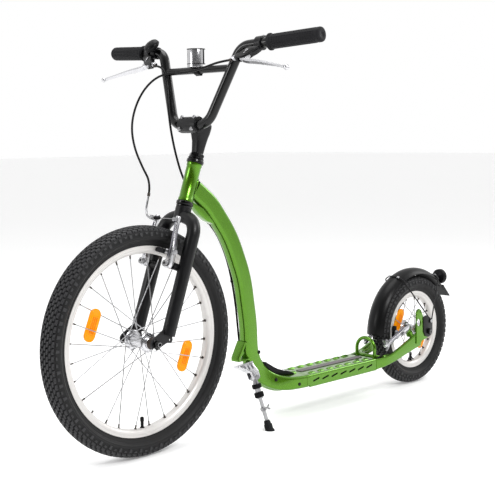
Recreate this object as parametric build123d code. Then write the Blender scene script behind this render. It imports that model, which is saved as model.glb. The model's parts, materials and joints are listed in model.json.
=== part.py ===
from build123d import *
import math
import os

# Kick scooter with a large front wheel and a small rear wheel, standing on its tyres and kickstand.
# Millimetres. +X is forward, +Y the rider's left, +Z up. The origin is on the ground, halfway along.

# ---- wheels -------------------------------------------------------------------------------------
FRONT_AXLE = Vector(442, 0, 253)
REAR_AXLE = Vector(-534, 0, 150)
FRONT_TYRE_RADIUS = 253
REAR_TYRE_RADIUS = 150
FRONT_RIM_RADIUS = 209
REAR_RIM_RADIUS = 107.5
FRONT_TYRE_HALF_WIDTH = 25
REAR_TYRE_HALF_WIDTH = 23.5
FRONT_SPOKES = 28
REAR_SPOKES = 20
RIM_HALF_WIDTH = 12.5
HUB_HALF_LENGTH = 36
FLANGE_Y = 25.5
FLANGE_RADIUS = 22
AXLE_RADIUS = 5
RUNNING_GAP = 0.05
REFLECTOR_SIZE = (72, 6, 26)

# ---- steering -----------------------------------------------------------------------------------
HEAD_BOTTOM = Vector(304, 0, 549)
HEAD_ANGLE = 20
HEAD_LENGTH = 90.5
HEAD_RADIUS = 16.5
STEERER_RADIUS = 12.7
QUILL_RADIUS = 11.1
FORK_LEG_RADIUS = 15
FORK_LEG_Y = 52
FORK_LEG_END = -300
BRAKE_POST_Y = 40
BRAKE_POST_W = -151.3

# ---- handlebar, in the steering frame (u forward, y left, w up along the steering axis) -------------
BAR_RADIUS = 11.1
BAR_WALL = 2
CLAMP_U = 39
CLAMP_W = 168
BAR_FOOT = (CLAMP_U, 56, CLAMP_W)
BAR_SHOULDER = (63, 128, 337)
BAR_TIP = (43.3, 334, 356.7)
CROSSBAR_RADIUS = 8
CROSSBAR_SHARE = 0.728
GRIP_START_Y = 205
GRIP_RADIUS = 16
LEVER_Y = 172
LEVER_PIVOT = (26, -12)
BELL_Y = 155
CABLE_LINE = 42

# ---- frame --------------------------------------------------------------------------------------
TUBE_HALF_WIDTH = 14
TUBE_DEPTH = 44
TUBE_WALL = 2
TUBE_LINE = [(279, 577), (231, 541), (170, 462), (128, 362), (110, 250), (105, 92), (-45, 88)]
TUBE_BENDS = [150, 300, 300, 380, 114]
DECK_TOP = 104
DECK_BOTTOM = 73
DECK_HALF_WIDTH = 50
DECK_FRONT = -54
DECK_REAR = -318
DECK_WALL = 2.5
ARM_Y = 47
ARM_WIDTH = 10
DROPOUT_INNER_Y = 55
DROPOUT_THICKNESS = 5
HOOP_X = -335
HOOP_HALF_WIDTH = 30
GUARD_RADIUS = 172
CABLE_RADIUS = 2.5

STEER = Location(HEAD_BOTTOM, (0, -HEAD_ANGLE, 0))
PARTS = {}


def keep(name, *shapes):
    """Store the solids of one named piece."""
    PARTS[name] = [solid for shape in shapes for solid in shape.solids()]


def steered(point):
    """A steering-frame point (u, y, w) as a point of the scooter's frame."""
    return (STEER * Pos(*point)).position


def both(shape):
    """A left-hand shape with its right-hand mirror image."""
    return [shape, mirror(shape, about=Plane.XZ)]


def rod(start, end, radius, bore=0):
    """A round bar, or a tube, from one point to another."""
    start = Vector(*start)
    line = Vector(*end) - start
    plane = Plane(origin=start, z_dir=line)
    solid = Solid.make_cylinder(radius, line.length, plane)
    if bore:
        solid -= Solid.make_cylinder(bore, line.length, plane)
    return solid


def block(low, high):
    """A box between its lowest and highest corners."""
    size = [h - l for l, h in zip(low, high)]
    centre = [(h + l) / 2 for l, h in zip(low, high)]
    return Pos(*centre) * Box(*size)


def prism(points, low, high):
    """A side outline of (x, z) points, pushed out along Y from low to high."""
    face = make_face(Polyline(*[(x, low, z) for x, z in points], close=True))
    return extrude(face, amount=high - low, dir=(0, 1, 0))


def turned(points, degrees=360):
    """A (radius, y) outline turned about the Y axis."""
    return revolve(make_face(Polyline(*points, close=True)), Axis.Y, degrees)


def bent(points, radii, radius, bore=0):
    """A round bar or tube along straight runs that tangent arcs join."""
    path = FilletPolyline(*points, radius=radii)
    start = Plane(origin=path @ 0, z_dir=path % 0)
    solid = sweep(start * Circle(radius), path=path)
    if bore:
        solid -= sweep(start * Circle(bore), path=path)
    return solid


def corner_radii(points):
    """For each corner of a route, the largest arc that its two runs leave room for."""
    radii = []
    for before, here, after in zip(points, points[1:], points[2:]):
        back = Vector(*here) - Vector(*before)
        ahead = Vector(*after) - Vector(*here)
        half_turn = math.radians(back.get_angle(ahead)) / 2
        radii.append(0.45 * min(back.length, ahead.length) / math.tan(half_turn))
    return radii


def cable(name, points):
    """A cable housing along a route, with its corner radii and its volume checked."""
    radii = corner_radii(points)
    solid = bent(points, radii, CABLE_RADIUS)
    length = FilletPolyline(*points, radius=radii).length
    share = solid.volume / (math.pi * CABLE_RADIUS**2 * length)
    print(name, "length", round(length), "radii", [round(r) for r in radii], "volume", round(share, 4))
    return solid


def hexagon(centre, across, thickness, bore):
    """A hexagon nut on the Y axis, from its inner face outwards."""
    side = 1 if centre[1] > 0 else -1
    plane = Plane(origin=centre, z_dir=(0, side, 0))
    face = plane * RegularPolygon(across / 2, 6, major_radius=False)
    nut = extrude(face, amount=thickness, dir=(0, side, 0))
    return nut - Solid.make_cylinder(bore, thickness, plane)


# ---- wheels -------------------------------------------------------------------------------------
def tyre(outer, rim, half_width):
    """A tyre open towards the rim, with a flat tread."""
    bead = rim - 9
    lip = rim + 0.6
    centre = (outer + rim) / 2 + 1
    shoulder = (outer - 6, half_width * 0.86)
    tread = (outer, half_width * 0.56)
    side = ThreePointArc((lip, 10.4), (centre, half_width), shoulder)
    outline = [
        Line((bead, -10.4), (bead, 10.4)),
        Line((bead, 10.4), (lip, 10.4)),
        side,
        Line(shoulder, tread),
        Line(tread, (tread[0], -tread[1])),
        Line((tread[0], -tread[1]), (shoulder[0], -shoulder[1])),
        mirror(side, about=Plane.XZ),
        Line((lip, -10.4), (bead, -10.4)),
    ]
    cavity = Pos(centre - 1, 0) * Circle(half_width - 6)
    mouth = Pos(rim, 0) * Rectangle(30, 13)
    return revolve(make_face(outline) - cavity - mouth, Axis.Y)


def rim_ring(rim):
    """A channel rim with a flat bed for the spokes."""
    half = [
        (rim, RIM_HALF_WIDTH),
        (rim - 12, RIM_HALF_WIDTH),
        (rim - 17, 7),
    ]
    channel = [(rim - 12.5, 6.5), (rim - 9.5, 10.6), (rim, 10.6)]
    across = [(r, -y) for r, y in reversed(half)]
    back = [(r, -y) for r, y in reversed(channel)]
    return turned(half + across + back + channel)


def hub_shell():
    """A hub with two spoke flanges and a bearing seat at each end."""
    end = HUB_HALF_LENGTH
    half = [
        (11, end),
        (13.5, end),
        (13.5, FLANGE_Y + 1.5),
        (FLANGE_RADIUS, FLANGE_Y + 1.5),
        (FLANGE_RADIUS, FLANGE_Y - 1.5),
        (14.5, FLANGE_Y - 3),
        (12.5, 8),
    ]
    seat = [(8, end - 7), (11, end - 7)]
    across = [(r, -y) for r, y in reversed(half)]
    back = [(r, -y) for r, y in reversed(seat)]
    return turned(half + across + back + seat)


def wheel_spokes(rim, count, phase):
    """Straight spokes, each screwed into a nipple in the rim's bed."""
    found = []
    for index in range(count):
        angle = math.radians(phase) + 2 * math.pi * index / count
        side = 1 if index % 2 else -1
        outward = Vector(math.cos(angle), 0, math.sin(angle))
        hub_end = outward * (FLANGE_RADIUS + 0.4) + Vector(0, side * FLANGE_Y, 0)
        rim_end = outward * (rim - 17.6) + Vector(0, side * 2, 0)
        joint = rim_end + (hub_end - rim_end).normalized() * 11
        found.append(rod(hub_end, joint, 1))
        found.append(rod(joint, rim_end, 1.9))
    return found


def inner_tube(rim, outer, half_width):
    """The air tube with its valve stem, which stands straight down through the rim."""
    centre = (outer + rim) / 2
    ring = revolve(Pos(centre, 0) * Circle(half_width - 6.6), Axis.Y)
    air = revolve(Pos(centre, 0) * Circle(half_width - 8), Axis.Y)
    stem = rod((0, 0, 38 - rim), (0, 0, -centre), 3)
    bore = rod((0, 0, 37 - rim), (0, 0, -centre), 1)
    return ring + stem - air - bore


def wheel(name, axle, outer, rim, half_width, count, phase, reflector_radius, reflector_angle):
    """Every piece of one wheel, on its axle."""
    place = Pos(axle)
    valve_hole = rod((0, 0, 12 - rim), (0, 0, -rim), 3.3)
    bearing = [
        rod((0, side * (HUB_HALF_LENGTH - 7), 0), (0, side * HUB_HALF_LENGTH, 0), 11, AXLE_RADIUS + RUNNING_GAP)
        for side in (-1, 1)
    ]
    plate = Pos(reflector_radius, 0, 0) * Rot(0, 90, 0) * Box(*REFLECTOR_SIZE)
    reflectors = [Rot(0, -reflector_angle - turn, 0) * plate for turn in (0, 180)]
    keep(name + "_tyre", place * tyre(outer, rim, half_width))
    keep(name + "_inner_tube", place * inner_tube(rim, outer, half_width))
    keep(name + "_rim", place * (rim_ring(rim) - valve_hole - rod((0, 0, 20 - rim), (0, 0, -rim), 3.3)))
    keep(name + "_spokes", *[place * spoke for spoke in wheel_spokes(rim, count, phase)])
    keep(name + "_hub", place * hub_shell())
    keep(name + "_hub_bearings", *[place * ring for ring in bearing])
    keep(name + "_wheel_reflectors", *[place * one for one in reflectors])


def axle_and_nuts(name, axle, dropout_y, thickness, end_y):
    """A bolt-through axle with an inner lock nut and an outer nut on each side."""
    place = Pos(axle)
    nuts = []
    for side in (-1, 1):
        inner = side * (HUB_HALF_LENGTH + 0.3)
        nuts.append(rod((0, inner, 0), (0, side * dropout_y, 0), 8, AXLE_RADIUS))
        washer = side * (dropout_y + thickness)
        nuts.append(rod((0, washer, 0), (0, washer + side * 1.5, 0), 10, AXLE_RADIUS))
        nuts.append(hexagon((0, washer + side * 1.5, 0), 15, 7, AXLE_RADIUS))
    keep(name + "_axle", place * rod((0, -end_y, 0), (0, end_y, 0), AXLE_RADIUS))
    keep(name + "_axle_nuts", *[place * nut for nut in nuts])


wheel("front", FRONT_AXLE, FRONT_TYRE_RADIUS, FRONT_RIM_RADIUS, FRONT_TYRE_HALF_WIDTH, FRONT_SPOKES, 6.43, 138, 22)
wheel("rear", REAR_AXLE, REAR_TYRE_RADIUS, REAR_RIM_RADIUS, REAR_TYRE_HALF_WIDTH, REAR_SPOKES, 9, 62, 28)
axle_and_nuts("front", FRONT_AXLE, 50, 4, 66)
axle_and_nuts("rear", REAR_AXLE, DROPOUT_INNER_Y, DROPOUT_THICKNESS, 71)


# ---- fork and headset ---------------------------------------------------------------------------
def fork_blade(radius):
    """One curved leg, from the middle of the crown down to its end."""
    points = [(0, -1, -31), (0, FORK_LEG_Y, -45), (0, FORK_LEG_Y, FORK_LEG_END)]
    return bent(points, [38], radius)


def fork_end():
    """The flat dropout that carries the front axle ahead of the leg."""
    axle = STEER.inverse() * Pos(FRONT_AXLE)
    u = axle.position.X
    w = axle.position.Z
    web = [(-13, -286), (13, -286), (u + 9, w + 11), (u, w - 15), (u - 10, w - 8), (-11, FORK_LEG_END - 6)]
    plate = prism(web, 50, 54)
    plate += rod((u, 50, w), (u, 54, w), 14)
    eye = (-7, FORK_LEG_END - 8)
    plate += rod((eye[0], 50, eye[1]), (eye[0], 54, eye[1]), 7)
    plate -= rod((eye[0], 49, eye[1]), (eye[0], 55, eye[1]), 2.6)
    plate -= rod((u, 49, w), (u, 55, w), AXLE_RADIUS)
    return plate - block((u - AXLE_RADIUS, 49, w - 20), (u + AXLE_RADIUS, 55, w))


def brake_post(reach):
    """A brake boss and the stud that the arm turns on, ahead of the leg."""
    boss = rod((9, BRAKE_POST_Y, BRAKE_POST_W), (27, BRAKE_POST_Y, BRAKE_POST_W), 8)
    stud = rod((26, BRAKE_POST_Y, BRAKE_POST_W), (reach, BRAKE_POST_Y, BRAKE_POST_W), 4)
    head = rod((reach - 4, BRAKE_POST_Y, BRAKE_POST_W), (reach, BRAKE_POST_Y, BRAKE_POST_W), 7)
    return boss + stud + head


legs = fork_blade(FORK_LEG_RADIUS)
crown = rod((0, 0, -44), (0, 0, -14.3), 18)
steerer = rod((0, 0, -40), (0, 0, 112), STEERER_RADIUS)
post = brake_post(51)
fork = crown + steerer
for half in both(legs) + both(post):
    fork += half
for half in both(fork_blade(FORK_LEG_RADIUS - 2)):
    fork -= half
fork -= rod((0, 0, -50), (0, 0, 112), QUILL_RADIUS + RUNNING_GAP)
for half in both(fork_end()):
    fork += half
keep("fork", STEER * fork)

bearing_radius = STEERER_RADIUS + RUNNING_GAP
lower_cup = rod((0, 0, -8), (0, 0, 0), 19.5, 16)
upper_cup = rod((0, 0, HEAD_LENGTH), (0, 0, HEAD_LENGTH + 8), 19.5, 16)
lower_bearing = rod((0, 0, -7.5), (0, 0, -0.5), 16, bearing_radius)
upper_bearing = rod((0, 0, HEAD_LENGTH + 0.5), (0, 0, HEAD_LENGTH + 7.5), 16, bearing_radius)
race = rod((0, 0, -14), (0, 0, -8.4), 18, STEERER_RADIUS)
cone = rod((0, 0, HEAD_LENGTH + 8.4), (0, 0, 104), 17.5, STEERER_RADIUS)
washer = rod((0, 0, 104), (0, 0, 106), 16.5, STEERER_RADIUS)
lock_face = Pos(0, 0, 106) * RegularPolygon(16, 6, major_radius=False)
lock_nut = extrude(lock_face, amount=7) - rod((0, 0, 106), (0, 0, 113), STEERER_RADIUS)
keep("headset_cups", STEER * lower_cup, STEER * upper_cup)
keep("headset_bearings", STEER * lower_bearing, STEER * upper_bearing)
keep("headset_locknuts", STEER * race, STEER * cone, STEER * washer, STEER * lock_nut)


# ---- stem and handlebar -------------------------------------------------------------------------
def stem_section(w, back, front, half_width):
    """A rounded cross-section of the stem at one height."""
    middle = (back + front) / 2
    face = Pos(middle, 0, w) * RectangleRounded(front - back, 2 * half_width, half_width * 0.6)
    return face


bar_hole = rod((CLAMP_U, -40, CLAMP_W), (CLAMP_U, 40, CLAMP_W), BAR_RADIUS)
stem_web = loft([stem_section(116, -12, 12, 11.5), stem_section(152, -13, 30, 15), stem_section(182, -13, 38, 17)])
clamp_back = block((20, -28, 150), (CLAMP_U, 28, 186))
clamp_front = block((CLAMP_U + 1, -28, 150), (CLAMP_U + 17, 28, 186))
clamp_front = fillet(clamp_front.edges().filter_by(Axis.Y).group_by(Axis.X)[-1], 9)
clamp_back = fillet(clamp_back.edges().filter_by(Axis.Y).group_by(Axis.X)[0], 6)
bolt_places = [(y, w) for y in (-20, 20) for w in (154.2, 181.8)]
face_bolts = []
for y, w in bolt_places:
    shank = rod((24, y, w), (CLAMP_U + 17, y, w), 2.5)
    head = rod((CLAMP_U + 17, y, w), (CLAMP_U + 21, y, w), 4.2)
    clamp_back -= rod((24, y, w), (CLAMP_U + 1, y, w), 2.5)
    clamp_front -= rod((CLAMP_U, y, w), (CLAMP_U + 18, y, w), 2.5)
    face_bolts.append(shank + head)
quill = rod((0, 0, 22), (0, 0, 120), QUILL_RADIUS)
stem = quill + stem_web + clamp_back - bar_hole
stem -= block((CLAMP_U, -45, 140), (CLAMP_U + 30, 45, 200))
stem -= rod((0, 0, 20), (0, 0, 190), 4)
stem -= rod((0, 0, 174), (0, 0, 190), 6.5)
for y, w in bolt_places:
    stem -= rod((24, y, w), (CLAMP_U + 1, y, w), 2.5)
wedge = rod((0, 0, 6), (0, 0, 21.8), QUILL_RADIUS - 0.2, 4)
expander = rod((0, 0, 4), (0, 0, 174), 3.9) + rod((0, 0, 174.2), (0, 0, 181), 6.2)
expander += rod((0, 0, 172), (0, 0, 176), 3.9)
keep("stem", STEER * stem)
keep("stem_faceplate", STEER * (clamp_front - bar_hole))
keep("stem_bolts", STEER * expander, STEER * wedge, *[STEER * bolt for bolt in face_bolts])

bar_half = [BAR_FOOT, BAR_SHOULDER, BAR_TIP]
bar_route = [(u, -y, w) for u, y, w in reversed(bar_half)] + bar_half
bar_bends = [36, 40, 40, 36]
crossbar_u = BAR_FOOT[0] + CROSSBAR_SHARE * (BAR_SHOULDER[0] - BAR_FOOT[0])
crossbar_y = BAR_FOOT[1] + CROSSBAR_SHARE * (BAR_SHOULDER[1] - BAR_FOOT[1])
crossbar_w = BAR_FOOT[2] + CROSSBAR_SHARE * (BAR_SHOULDER[2] - BAR_FOOT[2])
handlebar = bent(bar_route, bar_bends, BAR_RADIUS)
handlebar += rod((crossbar_u, -crossbar_y, crossbar_w), (crossbar_u, crossbar_y, crossbar_w), CROSSBAR_RADIUS)
handlebar -= bent(bar_route, bar_bends, BAR_RADIUS - BAR_WALL)
keep("handlebar", STEER * handlebar)

shoulder = steered(BAR_SHOULDER)
tip = steered(BAR_TIP)
bar_direction = (tip - shoulder).normalized()


def on_bar(y):
    """The point of the left bar end's centre line at a distance y from the middle."""
    return shoulder + bar_direction * ((y - shoulder.Y) / bar_direction.Y)


grip = rod(on_bar(GRIP_START_Y), tip, GRIP_RADIUS, BAR_RADIUS)
grip += rod(tip, tip + bar_direction * 3, GRIP_RADIUS)
grip += rod(on_bar(GRIP_START_Y), on_bar(GRIP_START_Y + 4), GRIP_RADIUS + 2.5, BAR_RADIUS)
keep("grips", *both(grip))

# ---- brake levers, drawn in a plane of their own: p away from the bar, q outwards along it --------
ahead = Vector(0.70, 0, -0.714)
across = (ahead - bar_direction * ahead.dot(bar_direction)).normalized()
LEVER_PLANE = Plane(origin=on_bar(LEVER_Y), x_dir=across, z_dir=across.cross(bar_direction))


def lever_shape(points, low, high):
    """An outline of (p, q) points with a thickness across the lever's plane."""
    face = LEVER_PLANE * make_face(Polyline(*points, close=True))
    return extrude(face, amount=high - low, dir=LEVER_PLANE.z_dir).moved(Location(LEVER_PLANE.z_dir * low))


def lever_rod(start, end, radius, bore=0):
    """A round bar in the lever's plane frame."""
    return rod(LEVER_PLANE.from_local_coords(start), LEVER_PLANE.from_local_coords(end), radius, bore)


pivot_p = LEVER_PIVOT[0]
pivot_q = LEVER_PIVOT[1]
perch = [(8, 1), (8, 16), (16, 16), (34, 0), (48, -14), (48, -34), (37, -34), (30, -24), (17, -14)]
bracket = lever_shape(perch, -7.5, 7.5)
bracket += lever_rod((0, 0, 0), (0, 16, 0), 15.5)
bracket -= lever_rod((0, -20, 0), (0, 20, 0), BAR_RADIUS)
bracket -= lever_shape([(17, -27), (60, -27), (60, 30), (17, 30)], -4, 4)
bracket -= lever_rod((pivot_p, pivot_q, -8), (pivot_p, pivot_q, 8), 2.5)
bracket -= lever_rod((CABLE_LINE, -36, 0), (CABLE_LINE, -26, 0), 2.5)
pin = lever_rod((pivot_p, pivot_q, -8.5), (pivot_p, pivot_q, 8.5), 2.5)
barrel = lever_rod((CABLE_LINE, -41, 0), (CABLE_LINE, -34, 0), 5, 1)
barrel += lever_rod((CABLE_LINE, -34, 0), (CABLE_LINE, -28, 0), 2.4, 1)
barrel += lever_rod((CABLE_LINE, -49, 0), (CABLE_LINE, -41, 0), 3.6, 1)
blade = [
    (pivot_p - 5, pivot_q - 5),
    (CABLE_LINE + 6, -21),
    (55, -12),
    (59, 20),
    (64, 60),
    (73, 104),
    (78, 128),
    (73, 131),
    (68, 112),
    (57, 66),
    (50, 22),
    (40, 2),
    (pivot_p - 3, pivot_q + 7),
]
lever = lever_shape(blade, -3.6, 3.6)
lever += lever_shape(blade[3:11], -5.5, 5.5)
lever -= lever_rod((pivot_p, pivot_q, -8), (pivot_p, pivot_q, 8), 2.5 + RUNNING_GAP)
tip_ball = LEVER_PLANE * Pos(75, 128, 0) * Sphere(6)
lever += tip_ball
brackets = both(bracket) + both(pin)
levers = both(lever)
keep("lever_brackets", *brackets)
keep("left_brake_lever", levers[0])
keep("right_brake_lever", levers[1])
keep("barrel_adjusters", *both(barrel))
LEVER_AXIS = LEVER_PLANE.z_dir
pivot_point = LEVER_PLANE.from_local_coords((pivot_p, pivot_q, 0))
print("left lever pivot", pivot_point, "axis", LEVER_AXIS)

# ---- bell on the right of the bar -----------------------------------------------------------------
bell_foot = Vector(on_bar(BELL_Y).X, -BELL_Y, on_bar(BELL_Y).Z)
bell_up = Vector(math.sin(math.radians(45)), 0, math.cos(math.radians(45)))
right_bar = Vector(bar_direction.X, -bar_direction.Y, bar_direction.Z)
bell_up = (bell_up - right_bar * bell_up.dot(right_bar)).normalized()
BELL = Plane(origin=bell_foot, x_dir=right_bar, z_dir=bell_up)


def on_bell(start, end, radius, bore=0):
    """A round bar in the bell's frame: x outwards along the bar, z away from it."""
    return rod(BELL.from_local_coords(start), BELL.from_local_coords(end), radius, bore)


dome_profile = Polyline((0, 33), (13, 31), (19, 26), (20, 20), (18.6, 20), (17.8, 25.2), (12.4, 29.6), (0, 31.6), close=True)
dome = revolve(Plane.XZ * make_face(dome_profile), Axis.Z)
band = on_bell((-5, 0, 0), (5, 0, 0), 14, BAR_RADIUS)
saddle = on_bell((0, 0, 12), (0, 0, 17), 8)
plate = on_bell((0, 0, 17), (0, 0, 19), 17.5)
hub_post = on_bell((0, 0, 18), (0, 0, 28), 3)
base = band + saddle + plate + hub_post - on_bell((-10, 0, 0), (10, 0, 0), BAR_RADIUS)
base -= on_bell((12, 0, 16), (12, 0, 20), 1.5)
thumb = on_bell((12, 0, 14.5), (12, 0, 24), 1.45) + on_bell((12, 0, 13), (12, 0, 16.6), 3)
paddle = make_face(Polyline((10, -3), (14, -3), (17, -24), (12, -27), (7, -25), close=True))
thumb += extrude(BELL * Pos(0, 0, 13.5) * paddle, amount=2.4, dir=BELL.z_dir)
keep("bell_base", base)
keep("bell_dome", BELL.location * dome)
keep("bell_thumb_lever", thumb)
print("bell lever pivot", BELL.from_local_coords((12, 0, 14)), "axis", BELL.z_dir)

# ---- clear front reflector on the crossbar --------------------------------------------------------
cross = steered((crossbar_u, 0, crossbar_w))
holder = rod((cross.X, -7, cross.Z), (cross.X, 7, cross.Z), 11.5, CROSSBAR_RADIUS)
holder += block((cross.X - 4, -6, cross.Z + 10), (cross.X + 4, 6, cross.Z + 20))
shell = rod((cross.X + 6, 0, cross.Z + 5), (cross.X + 6, 0, cross.Z + 46), 20)
backing = rod((cross.X + 6, 0, cross.Z + 3), (cross.X + 6, 0, cross.Z + 47), 21)
lens_zone = block((cross.X + 2, -25, cross.Z), (cross.X + 40, 25, cross.Z + 60))
back_zone = block((cross.X - 2, -25, cross.Z), (cross.X + 40, 25, cross.Z + 60))
bar_room = rod((cross.X, -40, cross.Z), (cross.X, 40, cross.Z), 12)
lens = (shell & lens_zone) - bar_room
holder += (backing & back_zone) - lens_zone - bar_room
holder -= lens
keep("front_reflector", lens)
keep("front_reflector_bracket", holder)


# ---- brakes: one arm, drawn upright beside the rim, x outwards from the brake's studs ----------------
def brake_arm(stud_y, low_x, tip_height, pad_height, pad_face_y, pad_reach, pad_tilt):
    """The left arm, its stud along X at the origin's height, with its pad and its cable fitting."""
    width = 7
    side = [
        (stud_y - 8, -8),
        (stud_y + 8, -8),
        (stud_y + 8, 30),
        (stud_y + 3, 60),
        (35 + 6, tip_height),
        (35 - 6, tip_height),
        (stud_y - 6, 50),
        (stud_y - 8, 20),
    ]
    face = make_face(Polyline(*[(low_x, y, w) for y, w in side], close=True))
    arm = extrude(face, amount=width * 2, dir=(1, 0, 0))
    arm -= rod((low_x - 1, stud_y, 0), (low_x + 15, stud_y, 0), 4 + RUNNING_GAP)
    middle = low_x + width
    holder_rod = rod((middle, pad_face_y + 10.5, pad_height), (middle, stud_y + 14, pad_height), 3)
    arm -= rod((middle, stud_y - 12, pad_height), (middle, stud_y + 14, pad_height), 3)
    nut = rod((middle, stud_y + 8.2, pad_height), (middle, stud_y + 13, pad_height), 5.5, 3)
    pad = Pos(middle, pad_face_y + 5.2, pad_height) * Rot(0, pad_tilt, 0) * Box(pad_reach, 10.4, 10)
    return [arm, holder_rod, nut, pad]


def cable_across(x, height, left_y, right_y):
    """The bare cable and its rubber boot between the two arm tips."""
    boot = rod((x, right_y, height), (x, right_y + 22, height), 4, 1)
    wire = rod((x, right_y, height), (x, left_y, height), 0.9)
    return [boot, wire]


FRONT_ARM_BACK = 31.5
FRONT_TIP = 108
PAD_FACE_Y = RIM_HALF_WIDTH + 2.3
front_arm = brake_arm(BRAKE_POST_Y, FRONT_ARM_BACK, FRONT_TIP, 27.8, PAD_FACE_Y, 50, 3)
front_arm = [Pos(0, 0, BRAKE_POST_W) * one for one in front_arm]
anchor = rod((45.5, 35, BRAKE_POST_W + 98), (50, 35, BRAKE_POST_W + 98), 5)
wire_u = 53
wire_w = BRAKE_POST_W + 98
front_left = [STEER * one for one in front_arm + [anchor]]
saddle_block = block((45.5, -40, wire_w - 6), (56, -30, wire_w + 6)) - rod((wire_u, -41, wire_w), (wire_u, -29, wire_w), 2.6)
noodle_route = [(wire_u, -30, wire_w), (wire_u, -52, wire_w), (wire_u + 4, -58, wire_w + 20), (wire_u + 6, -58, wire_w + 46)]
noodle = bent(noodle_route, [12, 20], 2.5)
front_right = [STEER * one for one in [mirror(part, about=Plane.XZ) for part in front_arm]]
front_right += [STEER * one for one in cable_across(wire_u, wire_w, 44, -29.5) + [saddle_block, noodle]]
keep("front_left_brake_arm", *front_left)
keep("front_right_brake_arm", *front_right)

# ---- rear brake: the same arms, leaning forwards and down over the frame's arms ----------------------
REAR_BRAKE = Plane(origin=(-480, 0, 134), x_dir=(0.416, 0, 0.909), z_dir=(0.909, 0, -0.416))
REAR_ARM_BACK = 31.5
REAR_TIP = 100
rear_wire_x = REAR_ARM_BACK + 18
rear_wire_z = REAR_TIP - 8


def rear_brake(shape):
    """A shape of the rear brake's own frame, whose y points to the rider's right."""
    return REAR_BRAKE.location * shape


rear_arm = brake_arm(BRAKE_POST_Y, REAR_ARM_BACK, REAR_TIP, 32, PAD_FACE_Y, 34, 27.5)
clamp_bolt = rod((45.5, 35, rear_wire_z), (rear_wire_x - 3, 35, rear_wire_z), 5)
rear_saddle = block((45.5, -40, rear_wire_z - 5), (rear_wire_x + 3, -30, rear_wire_z + 5))
rear_saddle -= rod((rear_wire_x, -41, rear_wire_z), (rear_wire_x, -29, rear_wire_z), 2.6)
rear_noodle_route = [
    (rear_wire_x, -30, rear_wire_z),
    (rear_wire_x, -50, rear_wire_z),
    (rear_wire_x - 3.5, -56, rear_wire_z + 16),
    (rear_wire_x - 10.6, -53, rear_wire_z + 26.5),
]
rear_noodle = bent(rear_noodle_route, [7, 11], 2.5)
keep("rear_right_brake_arm", *[rear_brake(one) for one in rear_arm + [clamp_bolt]])
rear_left = [mirror(part, about=Plane.XZ) for part in rear_arm] + [rear_saddle, rear_noodle]
rear_left += cable_across(rear_wire_x, rear_wire_z, 42, -29.5)
keep("rear_left_brake_arm", *[rear_brake(one) for one in rear_left])
print("rear noodle end", REAR_BRAKE.from_local_coords(rear_noodle_route[-1]))
print("front noodle end", steered(noodle_route[-1]))
print("barrel end", LEVER_PLANE.from_local_coords((CABLE_LINE, -49, 0)))


# ---- frame --------------------------------------------------------------------------------------
def tube_section(plane, inset):
    """The main tube's rounded oblong section, made smaller all round by the inset."""
    return plane * RectangleRounded(2 * (TUBE_HALF_WIDTH - inset), TUBE_DEPTH - 2 * inset, 11 - inset)


tube_path = FilletPolyline(*[(x, 0, z) for x, z in TUBE_LINE], radius=TUBE_BENDS)
tube_start = Plane(origin=tube_path @ 0, x_dir=(0, 1, 0), z_dir=tube_path % 0)
head_axis = (0, 0, HEAD_LENGTH)
head_room = STEER * rod((0, 0, -20), (0, 0, HEAD_LENGTH + 20), HEAD_RADIUS)
tube_outer = sweep(tube_section(tube_start, 0), path=tube_path)
tube_inner = sweep(tube_section(tube_start, TUBE_WALL), path=tube_path)
main_tube = tube_outer - tube_inner - head_room
gusset = prism([(268, 540), (286, 540), (250, 497), (236, 512)], -3, 3) - head_room - tube_outer
keep("head_tube", STEER * rod((0, 0, 0), head_axis, HEAD_RADIUS, 14.5))

nose_plan = [(30, -17), (30, 17), (DECK_FRONT, DECK_HALF_WIDTH), (DECK_FRONT, -DECK_HALF_WIDTH)]
nose_inner = [(40, -12), (40, 12), (DECK_FRONT - 9, 49.5), (DECK_FRONT - 9, -49.5)]
nose = extrude(make_face(Polyline(*[(x, y, DECK_BOTTOM) for x, y in nose_plan], close=True)), DECK_TOP - DECK_BOTTOM)
hollow = make_face(Polyline(*[(x, y, DECK_BOTTOM - 1) for x, y in nose_inner], close=True))
nose -= extrude(hollow, DECK_TOP - DECK_BOTTOM - DECK_WALL + 1)
nose -= tube_outer

deck = block((DECK_REAR, -DECK_HALF_WIDTH, DECK_BOTTOM), (DECK_FRONT, DECK_HALF_WIDTH, DECK_TOP))
deck -= block(
    (DECK_REAR - 1, DECK_WALL - DECK_HALF_WIDTH, DECK_BOTTOM - 1),
    (DECK_FRONT + 1, DECK_HALF_WIDTH - DECK_WALL, DECK_TOP - DECK_WALL),
)
SLOT_COUNT = 7
SLOT_PITCH = 35
for index in range(SLOT_COUNT):
    slot_x = DECK_FRONT - 24 - SLOT_PITCH * index
    deck -= Pos(slot_x, 0, 90) * Rot(0, 35, 0) * Box(20, 120, 4)
    for side in (-1, 1):
        deck -= Pos(slot_x, side * 32, DECK_TOP) * Box(20, 6, 10)
deck -= tube_outer

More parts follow.
